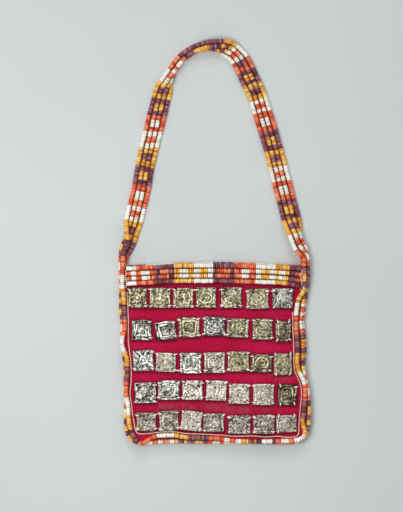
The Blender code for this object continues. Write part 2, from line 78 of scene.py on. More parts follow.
class Flow:
    # one output of a shader tree, so that sums of values read as plain Python
    def __init__(self, tree, socket):
        self.tree = tree
        self.socket = socket

    def maths(self, operation, *values):
        node = self.tree.nodes.new("ShaderNodeMath")
        node.operation = operation
        for slot, value in zip(node.inputs, values):
            connect(self.tree, value, slot)
        return Flow(self.tree, node.outputs[0])

    def __add__(self, other):
        return self.maths("ADD", self, other)

    def __radd__(self, other):
        return self.maths("ADD", other, self)

    def __sub__(self, other):
        return self.maths("SUBTRACT", self, other)

    def __rsub__(self, other):
        return self.maths("SUBTRACT", other, self)

    def __mul__(self, other):
        return self.maths("MULTIPLY", self, other)

    def __rmul__(self, other):
        return self.maths("MULTIPLY", other, self)

    def clamped(self):
        return self.maths("MINIMUM", self.maths("MAXIMUM", self, 0.0), 1.0)


class Finish:
    # a material with its Principled shader, built up node by node
    def __init__(self, name, roughness=0.5, **values):
        self.material = bpy.data.materials.new(name)
        self.material.use_nodes = True
        self.tree = self.material.node_tree
        self.shader = self.tree.nodes["Principled BSDF"]
        self.shader.inputs["Roughness"].default_value = roughness
        self.setSockets(self.shader, values)
        self.spot = self.node("ShaderNodeTexCoord", output="Object")

    def node(self, kind, settings=None, output=0, **values):
        made = self.tree.nodes.new(kind)
        for name, value in (settings or {}).items():
            if name == "stops":
                self.setStops(made.color_ramp, value)
            else:
                setattr(made, name, value)
        self.setSockets(made, values)
        return Flow(self.tree, made.outputs[output])

    def setSockets(self, node, values):
        for name, value in values.items():
            connect(self.tree, value, node.inputs[name.replace("_", " ")])

    def setStops(self, ramp, stops):
        while len(ramp.elements) < len(stops):
            ramp.elements.new(0.5)
        for element, (place, colour) in zip(ramp.elements, stops):
            element.position = place
            element.color = colour

    def noise(self, scale, detail=2.0, roughness=0.5):
        return self.node(
            "ShaderNodeTexNoise", Vector=self.spot, Scale=scale, Detail=detail, Roughness=roughness,
        )

    def attribute(self, name):
        return self.node("ShaderNodeAttribute", {"attribute_name": name}, output="Fac")

    def ramp(self, value, *stops):
        return self.node("ShaderNodeValToRGB", {"stops": stops}, Fac=value)

    def mix(self, first, second, factor):
        # sockets 6 and 7 of a Mix node take its two colours, and output 2 gives the mixed one
        made = self.tree.nodes.new("ShaderNodeMix")
        made.data_type = "RGBA"
        for index, value in ((0, factor), (6, first), (7, second)):
            connect(self.tree, value, made.inputs[index])
        return Flow(self.tree, made.outputs[2])

    def feed(self, name, value):
        self.tree.links.new(value.socket, self.shader.inputs[name])

    def bump(self, height, distance, strength=1.0):
        normal = self.node("ShaderNodeBump", Height=height, Distance=distance, Strength=strength)
        self.feed("Normal", normal)


def fromScreen(red, green, blue):
    # a colour as a screen shows it, turned into the renderer's linear values
    parts = [v / 255 for v in (red, green, blue)]
    return (*[v / 12.92 if v < 0.04045 else ((v + 0.055) / 1.055) ** 2.4 for v in parts], 1.0)


# Sizes that the frame shares, in metres. The photograph is read in pixels of its 403 x 512 frame

pouch = {
    "halfWidth": 0.090,
    "halfHeight": 0.08975,
    "strapRise": 0.218,
    "cloth": 0.0009,
    "crown": 0.0027,
    "hem": 0.0012,
    "clearance": 0.0003,
    "rollAcross": 0.14,
    "rollUp": 0.12,
    "mouthShares": (0.79, 0.875),
}
strand = {
    "bead": 0.0046,
    "pitch": 0.0050,
    "leftLean": math.radians(60),
    "frontLean": math.radians(44),
    "backLean": math.radians(14),
    "rightShift": 0.0020,
    "rightShiftShares": (0.79, 0.83, 0.94, 0.975),
    "fanStart": 0.0625,
    "fanLength": 0.025,
    "fan": 0.18,
    "backRaise": 0.0012,
    "endGap": 0.0012,
    "step": 0.003,
}
photo = {
    "middle": Vector((213.5, 352.75)),
    "halfWidth": 90.0,
    "halfHeight": 89.75,
    "mouth": 263.0,
    "apex": 45.0,
}
up = Vector((0, 0, 1))


def fromPhoto(px, py):
    x = (px - photo["middle"].x) / photo["halfWidth"] * pouch["halfWidth"]
    if py >= photo["mouth"]:
        return Vector((x, (photo["middle"].y - py) / photo["halfHeight"] * pouch["halfHeight"]))
    rise = (photo["mouth"] - py) / (photo["mouth"] - photo["apex"]) * pouch["strapRise"]
    return Vector((x, pouch["halfHeight"] + rise))


def curveThrough(points, pieces=8):
    # a smooth line through all the points
    ends = [2 * points[0] - points[1]] + points + [2 * points[-1] - points[-2]]
    line = []
    for a, b, c, d in zip(ends, ends[1:], ends[2:], ends[3:]):
        for i in range(pieces):
            t = i / pieces
            bend = (2 * a - 5 * b + 4 * c - d) * t**2 + (3 * b - a - 3 * c + d) * t**3
            line.append((2 * b + (c - a) * t + bend) / 2)
    return line + [points[-1]]


def distances(line):
    marks = [0.0]
    for a, b in zip(line, line[1:]):
        marks.append(marks[-1] + (b - a).length)
    return marks


def lineLength(line):
    return distances(line)[-1]


def stepAt(marks, mark, step):
    # the step of a line that a distance falls in, from a given step on, and how far along it
    while step < len(marks) - 2 and marks[step + 1] < mark:
        step += 1
    return step, (mark - marks[step]) / (marks[step + 1] - marks[step])


def spread(line, count, start=0.0, end=1.0):
    # count points at equal distances along the line
    marks = distances(line)
    result = []
    step = 0
    for i in range(count):
        mark = marks[-1] * (start + (end - start) * i / (count - 1))
        step, share = stepAt(marks, mark, step)
        result.append(line[step].lerp(line[step + 1], share))
    return result


def directions(line):
    ahead = line[1:] + [2 * line[-1] - line[-2]]
    behind = [2 * line[0] - line[1]] + line[:-1]
    return [(b - a).normalized() for a, b in zip(behind, ahead)]


def offsetLine(line, inset):
    # moved to its left side, the inside of the edging
    return [p + inset * Vector((-d.y, d.x)) for p, d in zip(line, directions(line))]


def shiftedLine(line):
    # moved in on the right side, where the front inner string lies beside the back one
    start, full, hold, end = strand["rightShiftShares"]
    result = []
    for i, (place, ahead) in enumerate(zip(line, directions(line))):
        share = i / (len(line) - 1)
        swell = ease((share - start) / (full - start)) * ease((end - share) / (end - hold))
        result.append(place + strand["rightShift"] * swell * Vector((-ahead.y, ahead.x)))
    return result


def valueAt(pairs, where):
    for (a, low), (b, high) in zip(pairs, pairs[1:]):
        if where <= b:
            return low + (high - low) * max(0.0, (where - a) / (b - a))
    return pairs[-1][1]


def ease(share):
    share = min(1.0, max(0.0, share))
    return share * share * (3 - 2 * share)


# Routes read from the photograph

edgingPixels = [
    (120.6, 261), (120.4, 270), (120.6, 283), (121.2, 298), (120.8, 310), (122.3, 323),
    (122.6, 338), (124.2, 354), (125.3, 370), (125.5, 388), (126.2, 405), (126.1, 420),
    (127.2, 431), (131, 438.8), (138.5, 442.4), (152, 442), (170, 441.2), (192, 441.3),
    (215, 441.6), (242, 441.8), (268, 442), (286, 442.2), (296.5, 441.4), (304.2, 436.6),
    (307.8, 427), (309, 412), (308.4, 399), (306.8, 387), (304, 376.5), (302.8, 366),
    (304.4, 353), (304.2, 338), (302.4, 323), (303.8, 311), (305.2, 299), (307.2, 287),
    (308, 276), (307.8, 268), (307.4, 261),
]
frontStringPixels = [
    (122.9, 270), (122.6, 283), (123.9, 297), (124.6, 310), (125.2, 323), (124.6, 331),
    (122.9, 337.5), (122.2, 342.5), (123.2, 348), (125.4, 353), (127.1, 358), (127.6, 370),
    (127.2, 378), (126.4, 386), (126.4, 394), (127.8, 401), (128.6, 410), (128.8, 417),
    (129.9, 425), (132.4, 432.4), (135.6, 438.4), (138.8, 442.4), (142, 443.4), (145.4, 441.4),
    (150, 438), (157, 435.2), (165, 434.8), (175, 434.8), (187, 436.8), (205, 437.4),
    (222, 438.4), (232, 440), (250, 440.6), (270, 440.6), (287, 440.4), (296, 439.6),
    (301.4, 437.6), (304.6, 433.6), (303.8, 428), (301.8, 421.5), (303, 415), (303.9, 408),
    (304.8, 398), (304.8, 390), (303.5, 382.5), (300.8, 375.5), (298, 369.5), (296.9, 360),
    (297.2, 345), (296, 330), (295.8, 318), (296.1, 310), (297, 303), (298.3, 298),
    (300.6, 294.6), (302.9, 290.6), (303.9, 286), (304.2, 279), (304.2, 270),
]
threadPixels = [
    (127.2, 292), (127.8, 303), (128.4, 318), (128.5, 330), (128.6, 342), (129.6, 351),
    (130.9, 361), (131.4, 377.6), (130.2, 393.5), (131.8, 405.4), (132.6, 414), (134.2, 421.3),
    (135.1, 428), (137, 432.2), (141, 433.5), (150, 433), (162, 431.6), (175, 431.5), (187, 433.2),
    (207, 434), (224, 435.1), (236, 436), (253, 435.6), (265, 436.6), (277, 436), (286, 436.8),
    (293, 436.8), (297, 435.4), (298.6, 432), (298.8, 424), (299.6, 414), (300.4, 405),
    (301.3, 396), (301.1, 388), (299.4, 381.5), (297, 376), (294.4, 369.5), (293.6, 358),
    (293.6, 345), (292.8, 330), (292.6, 312),
]
strapPixels = [
    (123.5, 255), (125.6, 250.4), (128, 244.5), (130.8, 236), (134.2, 217), (140.5, 190),
    (146, 160), (153, 130), (162, 94), (166, 82), (171.5, 71), (179, 60.5),
    (190, 51), (204, 46), (217, 45.6),
    (229, 49), (238.5, 57), (244, 66), (250, 79), (257, 94), (262.5, 112), (270, 136),
    (276.5, 160), (282.5, 184), (288.8, 208), (292.2, 222), (295.1, 236), (298, 244.5),
    (301.6, 250.6), (304.3, 255.2),
]
mouthPixels = [
    (127, 268.6), (150, 267.4), (178, 265.9), (213, 265.5), (250, 266.2), (280, 267.6), (301, 269),
]
plaquePixels = [
    [(137.8, 297.6, 18.1, 20.1, 0), (160.2, 297.7, 20.1, 20, 0), (183.3, 297.7, 19.4, 20, 0),
     (206.1, 297.4, 19.4, 20.5, 0), (231.2, 297.3, 20.1, 20.8, 0), (257.3, 298.6, 21.4, 20.1, 1),
     (282.2, 298, 19.8, 19.7, 0)],
    [(141.8, 329.7, 19.4, 20.1, 0), (165.7, 330.4, 20, 18.5, 8), (189.2, 327, 20.5, 20.1, 1),
     (214.3, 326, 21.2, 19.4, 0), (237.6, 327.7, 20.8, 18.7, -2), (262.3, 328.9, 19.4, 21, 0),
     (283.1, 330.7, 15.4, 20.7, 0)],
    [(143.5, 360.2, 20.1, 20.7, 3), (165.9, 362, 19.4, 19.1, -2), (190.7, 362.7, 20.8, 20.5, 0),
     (214.5, 362.2, 20.1, 20.7, 0), (238.2, 361.2, 20.8, 20.1, 0), (261, 362.8, 20.8, 18.1, -1),
     (282.6, 363.8, 17.8, 21.4, 0)],
    [(145.5, 392.3, 21, 20.8, 2), (168.9, 389.6, 21, 19.4, 0), (192.4, 389.6, 20.1, 19.4, 0),
     (216.3, 390, 19.8, 20.1, -3), (239.2, 393.3, 20.1, 20.1, -1), (263.3, 394, 20.1, 21.4, 0),
     (287, 394.3, 18.7, 20.8, 0)],
    [(146.5, 421.4, 19.4, 18.7, 0), (168.9, 420.1, 18.7, 20.1, 3), (191.4, 420.1, 20.2, 20, -6),
     (213.7, 422.1, 20.2, 18.7, 0), (239.2, 424.1, 21.6, 18.8, 0), (263.7, 423.8, 20.4, 19.4, 0),
     (286.1, 423.1, 20.1, 17, 0)],
]
leftCornerPixel = (131, 438.8)
rightCornerPixel = (304.2, 436.6)

beadRadius = strand["bead"] / 2
backInnerHeight = beadRadius + strand["pitch"] * math.sin(strand["backLean"])
frontInnerHeight = backInnerHeight + strand["pitch"]
frontOuterHeight = frontInnerHeight + strand["pitch"] * math.sin(strand["frontLean"])
frontOuterInset = strand["pitch"] * math.cos(strand["frontLean"])
leftOuterInset = strand["pitch"] * math.cos(strand["leftLean"])
backOuterInset = strand["pitch"] * math.cos(strand["backLean"])
clothInset = beadRadius + pouch["clearance"]
frontSeamHeight = frontOuterHeight - beadRadius - pouch["clearance"] - pouch["cloth"]
backSeamHeight = frontSeamHeight - pouch["clearance"] - pouch["cloth"]

edgingLine = curveThrough([fromPhoto(*pixel) for pixel in edgingPixels])
edgingLine = spread(edgingLine, round(lineLength(edgingLine) / strand["step"]))
mouthLine = curveThrough([fromPhoto(*pixel) for pixel in mouthPixels])
mouthPairs = [(p.x, p.y) for p in mouthLine]
innerLine = shiftedLine(edgingLine)
clothLine = offsetLine(innerLine, clothInset)


def nearestIndex(line, place):
    return min(range(len(line)), key=lambda i: (line[i] - place).length)


def belowMouth(line):
    hem = valueAt(mouthPairs, line[-1].x) + pouch["hem"]
    kept = [p for p in line if p.y < hem]
    return kept + [Vector((kept[-1].x, hem))]


leftIndex = nearestIndex(edgingLine, fromPhoto(*leftCornerPixel))
rightIndex = nearestIndex(edgingLine, fromPhoto(*rightCornerPixel))
leftSide = belowMouth(clothLine[: leftIndex + 1][::-1])
rightSide = belowMouth(clothLine[rightIndex:])
bottomSide = clothLine[leftIndex : rightIndex + 1]
leftPairs = [(p.y, p.x) for p in leftSide]
rightPairs = [(p.y, p.x) for p in rightSide]
bottomPairs = [(p.x, p.y) for p in bottomSide]


# Heights of the cloth, the same as the frame's panels

def pouchShares(x, y):
    left = valueAt(leftPairs, y)
    right = valueAt(rightPairs, y)
    bottom = valueAt(bottomPairs, x)
    top = valueAt(mouthPairs, x) + pouch["hem"]
    return (x - left) / (right - left), (y - bottom) / (top - bottom)


def rollIn(across, along):
    sides = ease(across / pouch["rollAcross"]) * ease((1 - across) / pouch["rollAcross"])
    return sides * ease(along / pouch["rollUp"])


def frontHeight(x, y):
    return frontSeamHeight + pouch["crown"] * rollIn(*pouchShares(x, y))


def frontTop(x, y):
    return frontHeight(x, y) + pouch["cloth"]


def backHeight(x, y):
    across, along = pouchShares(x, y)
    start, end = pouch["mouthShares"]
    mouth = (strand["bead"] + pouch["clearance"]) * ease((along - start) / (end - start))
    rolled = rollIn(across, along)
    return backSeamHeight * (1 - rolled) + mouth * rolled


def seatOnFront(x, y, radius):
    return Vector((x, y, frontTop(x, y) + pouch["clearance"] + radius))


# Beads: blocks of colour along the band and along the mouth

# Red, white, yellow and purple follow each other. The two inner strings have a
# block's partner colour in its middle, or the runs that are written out for it
partners = {"R": "W", "W": "R", "Y": "P", "P": "Y"}
beadColours = ["R", "W", "Y", "P"]
# each block's end in the photo, with a written pattern for blocks whose patterned
# string lies in front of the plain one
edgingBlocks = [
    ("R", (121, 274.6)), ("W", (121, 288.5)), ("Y", (121, 304)), ("P", (122, 319.6)),
    ("R", (122.5, 336)), ("W", (124, 352)), ("Y", (125, 366)), ("P", (125.5, 380.5)),
    ("R", (126, 397)), ("W", (126, 413.5)), ("Y", (127, 430.5)), ("P", (138, 442.8)),
    ("R", (158.5, 442)), ("W", (174, 441.5)), ("Y", (188.3, 441.5)), ("P", (208, 441.5)),
    ("R", (224.2, 442)), ("W", (240.6, 442), "WWRRRWW"), ("Y", (256.3, 442), "YYYPPY"),
    ("P", (275.3, 442), "PPWWWWP"), ("R", (294.2, 442), "RRWWWRR"), ("W", (305.4, 436)),
    ("Y", (308.6, 419.8)), ("P", (308.4, 400.2)), ("R", (306, 383.4)), ("W", (303.4, 371)),
    ("Y", (304.4, 352.9)), ("P", (304, 333.6)), ("R", (303, 315.4)), ("W", (305, 303.4)),
    ("Y", (307, 287.6)), ("P", (308, 266), "PPYYYPP"), ("R", (307.4, 249), "RRWWWRR"),
]
# ends of the strap's blocks on its outer and on its inner string
strapBlocks = [
    ("R", (119.5, 255.5), (131, 257.5)), ("P", (121.4, 239.5), (137.6, 242.5)),
    ("Y", (125.2, 219.9), (141.3, 222.7)), ("W", (128.1, 204.8), (145.4, 208.4)),
    ("R", (132.3, 183.5), (150.1, 187.1)), ("P", (136.1, 164.5), (153.7, 167.9)),
    ("Y", (140.2, 146.9), (157.6, 147.9)), ("W", (144.1, 130.6), (161.5, 131.9)),
    ("R", (147.8, 114.3), (165.2, 116.5)), ("P", (153.7, 97), (170.4, 99.9)),
    ("Y", (161, 81.2), (174, 82.8)), ("W", (170.7, 70.8), (185.1, 70.8)),
    ("R", (180.3, 58.4), (198, 60)), ("P", (223, 42.8), (215.6, 47)),
    ("Y", (235.3, 46.7), (223.5, 51.4)), ("W", (247, 56.2), (233.2, 63.7)),
    ("R", (252.2, 67.2), (239.6, 72.9), "PPPRR"), ("P", (260.4, 80.4), (246.7, 84.5)),
    ("Y", (265.2, 96.8), (252.3, 101.1)), ("W", (270.5, 109.7), (253.9, 113.9)),
    ("R", (277.5, 128.4), (259.8, 133.2)), ("P", (283.4, 147.7), (265.2, 151.5)),
    ("Y", (287.2, 164.3), (272.2, 168.1)), ("W", (291.4, 178.8), (273.2, 182)),
    ("R", (296.8, 197.5), (277.5, 201.3)), ("P", (301.1, 216.8), (281.8, 221.1)),
    ("Y", (303.8, 232.5), (286.5, 236.5)), ("W", (307.6, 250), (292.5, 252.6)),
    ("R", (310, 266), (299, 266)),
]
# letter, runs of the inner strings, right end along the mouth
mouthBlocks = [
    ("W", "WWRRRWW", 136.1), ("R", "RRWWWRR", 154.9), ("P", "PPRRRPP", 174.3), ("Y", "YYWWWYY", 193.7),
    ("W", "WWYYYWW", 213.4), ("P", "PRRRP", 234.5), ("R", "RWR", 255.8), ("W", "WWYYYWW", 275.5),
    ("Y", "YYWWWYY", 289.0), ("P", "PPPPRRRR", 300.4),
]
# the band behind the mouth peeks out in other colours at its left end
backBlocks = [("P", "PPPPPPP", 145.0), ("W", "WWWWWWW", 174.3)] + mouthBlocks[3:]
bead = {
    "segments": 12,
    "length": 0.00205,
    "lengthSpread": 0.18,
    "least": 0.0007,
    "block": 0.0165,
    "gap": 0.00016,
    "rim": 0.00036,
    "tilt": 0.07,
    "shift": 0.00016,
    "sizes": (0.965, 1.05),
    "narrowest": 0.94,
    "sharp": math.radians(55),
    "stray": 0.0003,
    "wander": 0.00046,
    "wave": 48.0,
    "offsets": (0.0, 17.3, 41.9),
}


def markBeside(line, marks, place):
    # distance along the line, to the point of it that is nearest in the plan
    nearest = (math.inf, 0.0)
    for a, b, mark in zip(line, line[1:], marks):
        span = (b - a).xy
        share = min(1.0, max(0.0, (place - a.xy).dot(span) / span.length_squared))
        nearest = min(nearest, ((a.xy + span * share - place).length, mark + share * (b - a).length))
    return nearest[1]


def colourRuns(ends, line, chance):
    # ends holds (letters, place) pairs. The runs are (letter, start, end) along the line
    marks = distances(line)
    runs = []
    start = markBeside(line, marks, ends[0][1]) - bead["block"]
    for index, (letters, place) in enumerate(ends):
        end = markBeside(line, marks, place)
        if index == len(ends) - 1:
            end = max(end, start + bead["block"])
        begun = start
        for i, letter in enumerate(letters):
            if i + 1 < len(letters) and letters[i + 1] == letter:
                continue
            finished = start + (end - start) * (i + 1) / len(letters)
            runs.append([letter, begun, finished + chance.uniform(-1, 1) * bead["stray"]])
            begun = runs[-1][2]
        start = begun
    return runs


def bandLetters(letter, pattern, solid):
    return letter if solid else pattern or letter * 2 + partners[letter] * 3 + letter * 2


def beadFinish(name, dark, middle, pale):
    finish = Finish(name)
    tone = finish.attribute("shade")
    veins = finish.noise(900, 4.0, roughness=0.6)
    cloud = finish.noise(140, 2.0)
    mixed = (tone * 0.85 + veins * 0.4 + cloud * 0.24 - 0.17).clamped()
    finish.feed("Base Color", finish.ramp(mixed, (0.06, dark), (0.48, middle), (0.94, pale)))
    finish.feed("Roughness", (veins * 0.35 + 0.2).clamped())
    finish.bump(veins * 0.7 + cloud * 0.5, 0.00012, 0.6)
    return finish.material


shellColours = {
    "red_shell": ((184, 44, 22), (242, 98, 52), (254, 164, 118)),
    "white_shell": ((230, 222, 196), (255, 251, 236), (255, 255, 248)),
    "yellow_shell": ((202, 120, 26), (250, 178, 60), (255, 222, 130)),
    "purple_shell": ((70, 27, 36), (126, 60, 73), (186, 122, 130)),
}
shellFinishes = []
for finishName, colours in shellColours.items():
    shellFinishes.append(beadFinish(finishName, *[fromScreen(*colour) for colour in colours]))


def threadFinish(name, dark, pale, scale):
    finish = Finish(name, 0.85)
    fibres = finish.noise(scale, 3.0)
    finish.feed("Base Color", finish.ramp(fibres, (0.3, dark), (0.7, pale)))
    finish.bump(fibres, 0.0001, 0.7)
    return finish.material


cottonFinish = threadFinish("cream_cotton", fromScreen(222, 198, 160), fromScreen(255, 246, 226), 420)
stitchFinish = threadFinish("white_cotton", fromScreen(255, 238, 228), fromScreen(255, 252, 246), 2600)
# the lacing's dark colour is painted shade for the gaps between the strings
lacingShadeFinish = threadFinish("lacing_dark_as_shade", fromScreen(36, 14, 12), fromScreen(136, 58, 40), 180)


def meshOf(name, shape, materials):
    mesh = bpy.data.meshes.new(name)
    shape.to_mesh(mesh)
    shape.free()
    for material in materials:
        mesh.materials.append(material)
    return mesh


def addPiece(name, mesh, body="", node=""):
    mesh.shade_smooth()
    piece = placed(name, mesh)
    if body:
        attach(piece, body)
    if node:
        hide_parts(node)
    return piece


def beadShape():
    shape = bmesh.new()
    shape.faces.layers.float.new("shade")
    return shape


def addBead(shape, place, turn, length, colour, chance):
    shade = shape.faces.layers.float["shade"]
    shift = Vector([chance.uniform(-1, 1) * bead["shift"] for i in range(3)])
    lean = Euler([chance.uniform(-1, 1) * bead["tilt"] for i in range(2)] + [chance.uniform(0, math.tau)])
    size = beadRadius * chance.uniform(*bead["sizes"])
    oval = Matrix.Diagonal((1.0, chance.uniform(bead["narrowest"], 1.0), 1.0, 1.0))
    tone = min(1.0, max(0.0, chance.gauss(0.5, 0.26)))
    made = bmesh.ops.create_cone(
        shape, cap_ends=True, segments=bead["segments"],
        radius1=size, radius2=size, depth=length - bead["gap"],
        matrix=Matrix.Translation(place + shift) @ turn @ lean.to_matrix().to_4x4() @ oval,
    )
    for face in {face for vertex in made["verts"] for face in vertex.link_faces}:
        face.material_index = beadColours.index(colour)
        face[shade] = tone


def wandered(place, drift):
    # a string is never quite straight
    spot = place * bead["wave"] + drift
    return place + bead["wander"] * Vector([noise.noise(spot + up * offset) for offset in bead["offsets"]])


def stringBeads(line, runs, chance, shapeAt):
    # every run is filled from end to end, so that its colours start where they should
    marks = distances(line)
    drift = up * chance.uniform(0, 50)
    step = 0
    for letter, start, end in runs:
        start = max(start, 0.0)
        end = min(end, marks[-1])
        if end - start < bead["least"]:
            continue
        count = max(1, round((end - start) / bead["length"]))
        lengths = [1 + chance.uniform(-1, 1) * bead["lengthSpread"] for i in range(count)]
        fit = (end - start) / sum(lengths)
        for length in [value * fit for value in lengths]:
            middle = start + length / 2
            start += length
            step, share = stepAt(marks, middle, step)
            place = wandered(line[step].lerp(line[step + 1], share), drift)
            turn = (line[step + 1] - line[step]).to_track_quat("Z", "Y").to_matrix().to_4x4()
            addBead(shapeAt(place, middle), place, turn, length, letter, chance)


def thicken(piece, thickness):
    solid = piece.modifiers.new("thickness", "SOLIDIFY")
    solid.thickness = thickness
    solid.offset = 1


def finishBeads(name, shape, node, body=""):
    rims = [edge for edge in shape.edges if any(len(face.verts) > 4 for face in edge.link_faces)]
    bmesh.ops.bevel(
        shape, geom=rims, offset=bead["rim"], offset_type="OFFSET",
        affect="EDGES", segments=1, profile=0.5, material=-1,
    )
    piece = addPiece(name, meshOf(name, shape, shellFinishes), body, node)
    piece.data.set_sharp_from_angle(angle=bead["sharp"])
    return piece


def threadTubes(name, routes, radius, finish, body="pouch", node=""):
    # round threads, one for each route
    curve = bpy.data.curves.new(name, "CURVE")
    curve.dimensions = "3D"
    curve.bevel_depth = radius
    curve.bevel_resolution = 1
    curve.use_fill_caps = True
    for route in routes:
        spline = curve.splines.new("POLY")
        spline.points.add(len(route) - 1)
        for point, place in zip(spline.points, route):
            point.co = (*place, 1.0)
    tube = placed(name + "_curve", curve)
    bpy.context.view_layer.update()
    mesh = bpy.data.meshes.new_from_object(tube.evaluated_get(bpy.context.evaluated_depsgraph_get()))
    bpy.data.objects.remove(tube)
    mesh.name = name
    mesh.materials.clear()
    mesh.materials.append(finish)
    return addPiece(name, mesh, body, node)


# Lacing: threads that join neighbouring strings, before and behind, coloured dark as painted shade in the
# gaps between the strings

lacing = {
    "radius": 0.0004,
    "out": 0.0011,
}


def laceBetween(first, second):
    # the two threads between a pair of strings
    middle = []
    sides = []
    for place in first:
        other = min(second, key=lambda spot: (spot - place).length)
        middle.append((place + other) / 2)
        sides.append((other - place).normalized())
    ahead = directions(middle)
    routes = []
    for out in (-lacing["out"], lacing["out"]):
        routes.append([p + out * side.cross(along) for p, side, along in zip(middle, sides, ahead)])
    return routes


def laceStrings(name, lines, body="pouch"):
    routes = [route for first, second in zip(lines, lines[1:]) for route in laceBetween(first, second)]
    return threadTubes(name, routes, lacing["radius"], lacingShadeFinish, body)


# The edging: four strings folded over the seam of the two cloths

def frontOuterLine():
    # lies on the cloth, and climbs the string outside it where the two come close
    start = edgingLine[0] + Vector((leftOuterInset, 0))
    end = edgingLine[-1] - Vector((frontOuterInset, 0))
    line = curveThrough([start] + [fromPhoto(*pixel) for pixel in frontStringPixels] + [end])
    result = []
    for place in spread(line, round(lineLength(line) / strand["step"])):
        apart = min((place - other).length for other in innerLine)
        climb = math.sqrt(max(0.0, strand["pitch"] ** 2 - apart**2))
        seat = seatOnFront(place.x, place.y, beadRadius)
        seat.z = max(seat.z, frontInnerHeight + climb)
        result.append(seat)
    return result


def raisedLine(line, height):
    return [Vector((p.x, p.y, height)) for p in line]


# name, line, plain on the usual blocks, plain on the blocks whose strings have crossed
edging = [
    ("edging_front_outer", frontOuterLine(), True, False),
    ("edging_front_inner", raisedLine(innerLine, frontInnerHeight), False, True),
    ("edging_back_inner", raisedLine(edgingLine, backInnerHeight), False, False),
    ("edging_back_outer", raisedLine(offsetLine(edgingLine, backOuterInset), beadRadius), True, True),
]
for seed, (name, line, solid, solidCrossed) in enumerate(edging, start=101):
    ends = []
    for letter, pixel, *pattern in edgingBlocks:
        plain = solidCrossed if pattern else solid
        ends.append((bandLetters(letter, "".join(pattern), plain), fromPhoto(*pixel)))
    chance = random.Random(seed)
    shape = beadShape()
    stringBeads(line, colourRuns(ends, line, chance), chance, lambda place, mark: shape)
    finishBeads(name + "_beads", shape, name, "pouch")
laceStrings("edging_lacing", [line for name, line, solid, solidCrossed in edging])
print("edging strung")


# The strap: the four strings lie flat, fold two over two at the arch, and turn
# on edge at the roots, where they run down into the edging

flatSection = (0.0, 0.0, 0.0, 1.0)
foldedSection = (0.0, -math.pi / 2, -math.pi, 1.0)
leftRootSection = (strand["leftLean"] - math.pi, -math.pi / 2, -strand["backLean"], 1.0)
leftFanSection = (math.radians(-125), math.radians(-50), 0.0, 1.12)
rightFanSection = (math.radians(130), math.radians(50), math.radians(15), 1.18)
rightRootSection = (math.pi - strand["backLean"], math.pi / 2, strand["frontLean"], 1.0)
strap = {
    "sections": [
        (0.0, leftRootSection),
        (0.004, leftRootSection),
        (0.03, leftFanSection),
        (0.115, flatSection),
        (0.34, flatSection),
        (0.41, foldedSection),
        (0.47, foldedSection),
        (0.56, flatSection),
        (0.89, flatSection),
        (0.974, rightFanSection),
        (0.996, rightRootSection),
        (1.0, rightRootSection),
    ],
    "step": 0.0015,
    "swingDistance": 0.009,
    "rootLength": 0.018,
    "rootOverlap": 0.007,
    "bend": 0.0075,
}


def sectionAt(share):
    # places of the four strings across the band, as (to the inner side, up) pairs
    for (a, before), (b, after) in zip(strap["sections"], strap["sections"][1:]):
        if share <= b:
            break
    blend = ease((share - a) / (b - a))
    *angles, stretch = [first + (last - first) * blend for first, last in zip(before, after)]
    places = [Vector((0, 0))]
    for angle in angles:
        places.append(places[-1] + stretch * strand["pitch"] * Vector((math.cos(angle), math.sin(angle))))
    middle = (min(p.x for p in places) + max(p.x for p in places)) / 2
    lowest = min(p.y for p in places)
    return [Vector((p.x - middle, p.y - lowest + beadRadius)) for p in places]


def strapMiddle():
    start = edgingLine[0] - Vector((sectionAt(0.0)[1].x, 0))
    end = edgingLine[-1] + Vector((sectionAt(1.0)[2].x, 0))
    lead = Vector((0, strand["step"]))
    middle = [fromPhoto(*pixel) for pixel in strapPixels]
    return curveThrough([start, start + lead] + middle + [end + lead, end])


def strapLine(number):
    middle = strapMiddle()
    length = lineLength(middle)
    count = round(length / strap["step"]) + 1
    fine = strap["step"] / length
    line = []
    for i, place in enumerate(spread(middle, count)):
        share = i / (count - 1)
        near, far = spread(middle, 2, max(0.0, share - fine), min(1.0, share + fine))
        ahead = (far - near).normalized()
        across, height = sectionAt(share)[number]
        line.append(Vector((place.x + ahead.y * across, place.y - ahead.x * across, height)))
    return line


swingPlace = pouch["halfHeight"] + strap["swingDistance"]
foldPlace = swingPlace + strap["rootLength"]
splitPlace = (swingPlace + foldPlace) / 2
rootEnd = strap["swingDistance"] + strap["rootLength"] + strap["rootOverlap"]


def bendRoot(low, high):
    # the lower half bends at the swing hinge and the upper half at the fold hinge
    bend = Vector((0, strap["bend"], 0))
    halves = ((low, "pouch", "strap_root", swingPlace), (high, "strap_root", "strap_loop", foldPlace))
    for piece, lower, upper, hinge in halves:
        axis = Vector((0, hinge, 0))
        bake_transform(piece, lower, upper, start=axis - bend, end=axis + bend)


strapLines = [strapLine(number) for number in range(4)]
for number, line in enumerate(strapLines):
    total = lineLength(line)
    ends = []
    for letter, outer, inner, *pattern in strapBlocks:
        place = fromPhoto(*outer).lerp(fromPhoto(*inner), number / 3)
        ends.append((bandLetters(letter, "".join(pattern), number in (0, 3)), place))
    shapes = {name: beadShape() for name in ("loop", "left_low", "left_high", "right_low", "right_high")}

    def shapeAt(place, mark):
        side = "left" if mark < rootEnd else "right" if mark > total - rootEnd else ""
        if not side:
            return shapes["loop"]
        return shapes[side + ("_low" if place.y < splitPlace else "_high")]

    chance = random.Random(120 + number)
    stringBeads(line, colourRuns(ends, line, chance), chance, shapeAt)
    node = f"strap_string_{number + 1}"
    finishBeads(node + "_beads", shapes["loop"], node, "strap_loop")
    for side in ("left", "right"):
        node = f"{side}_root_string_{number + 1}"
        low = finishBeads(node + "_low_beads", shapes[side + "_low"], node)
        high = finishBeads(node + "_high_beads", shapes[side + "_high"], node)
        bendRoot(low, high)
count = len(strapLines[0])
rootCount = round(count * rootEnd / lineLength(strapLines[0]))
splitCount = sum(place.y < splitPlace for place in strapLines[0][:rootCount])
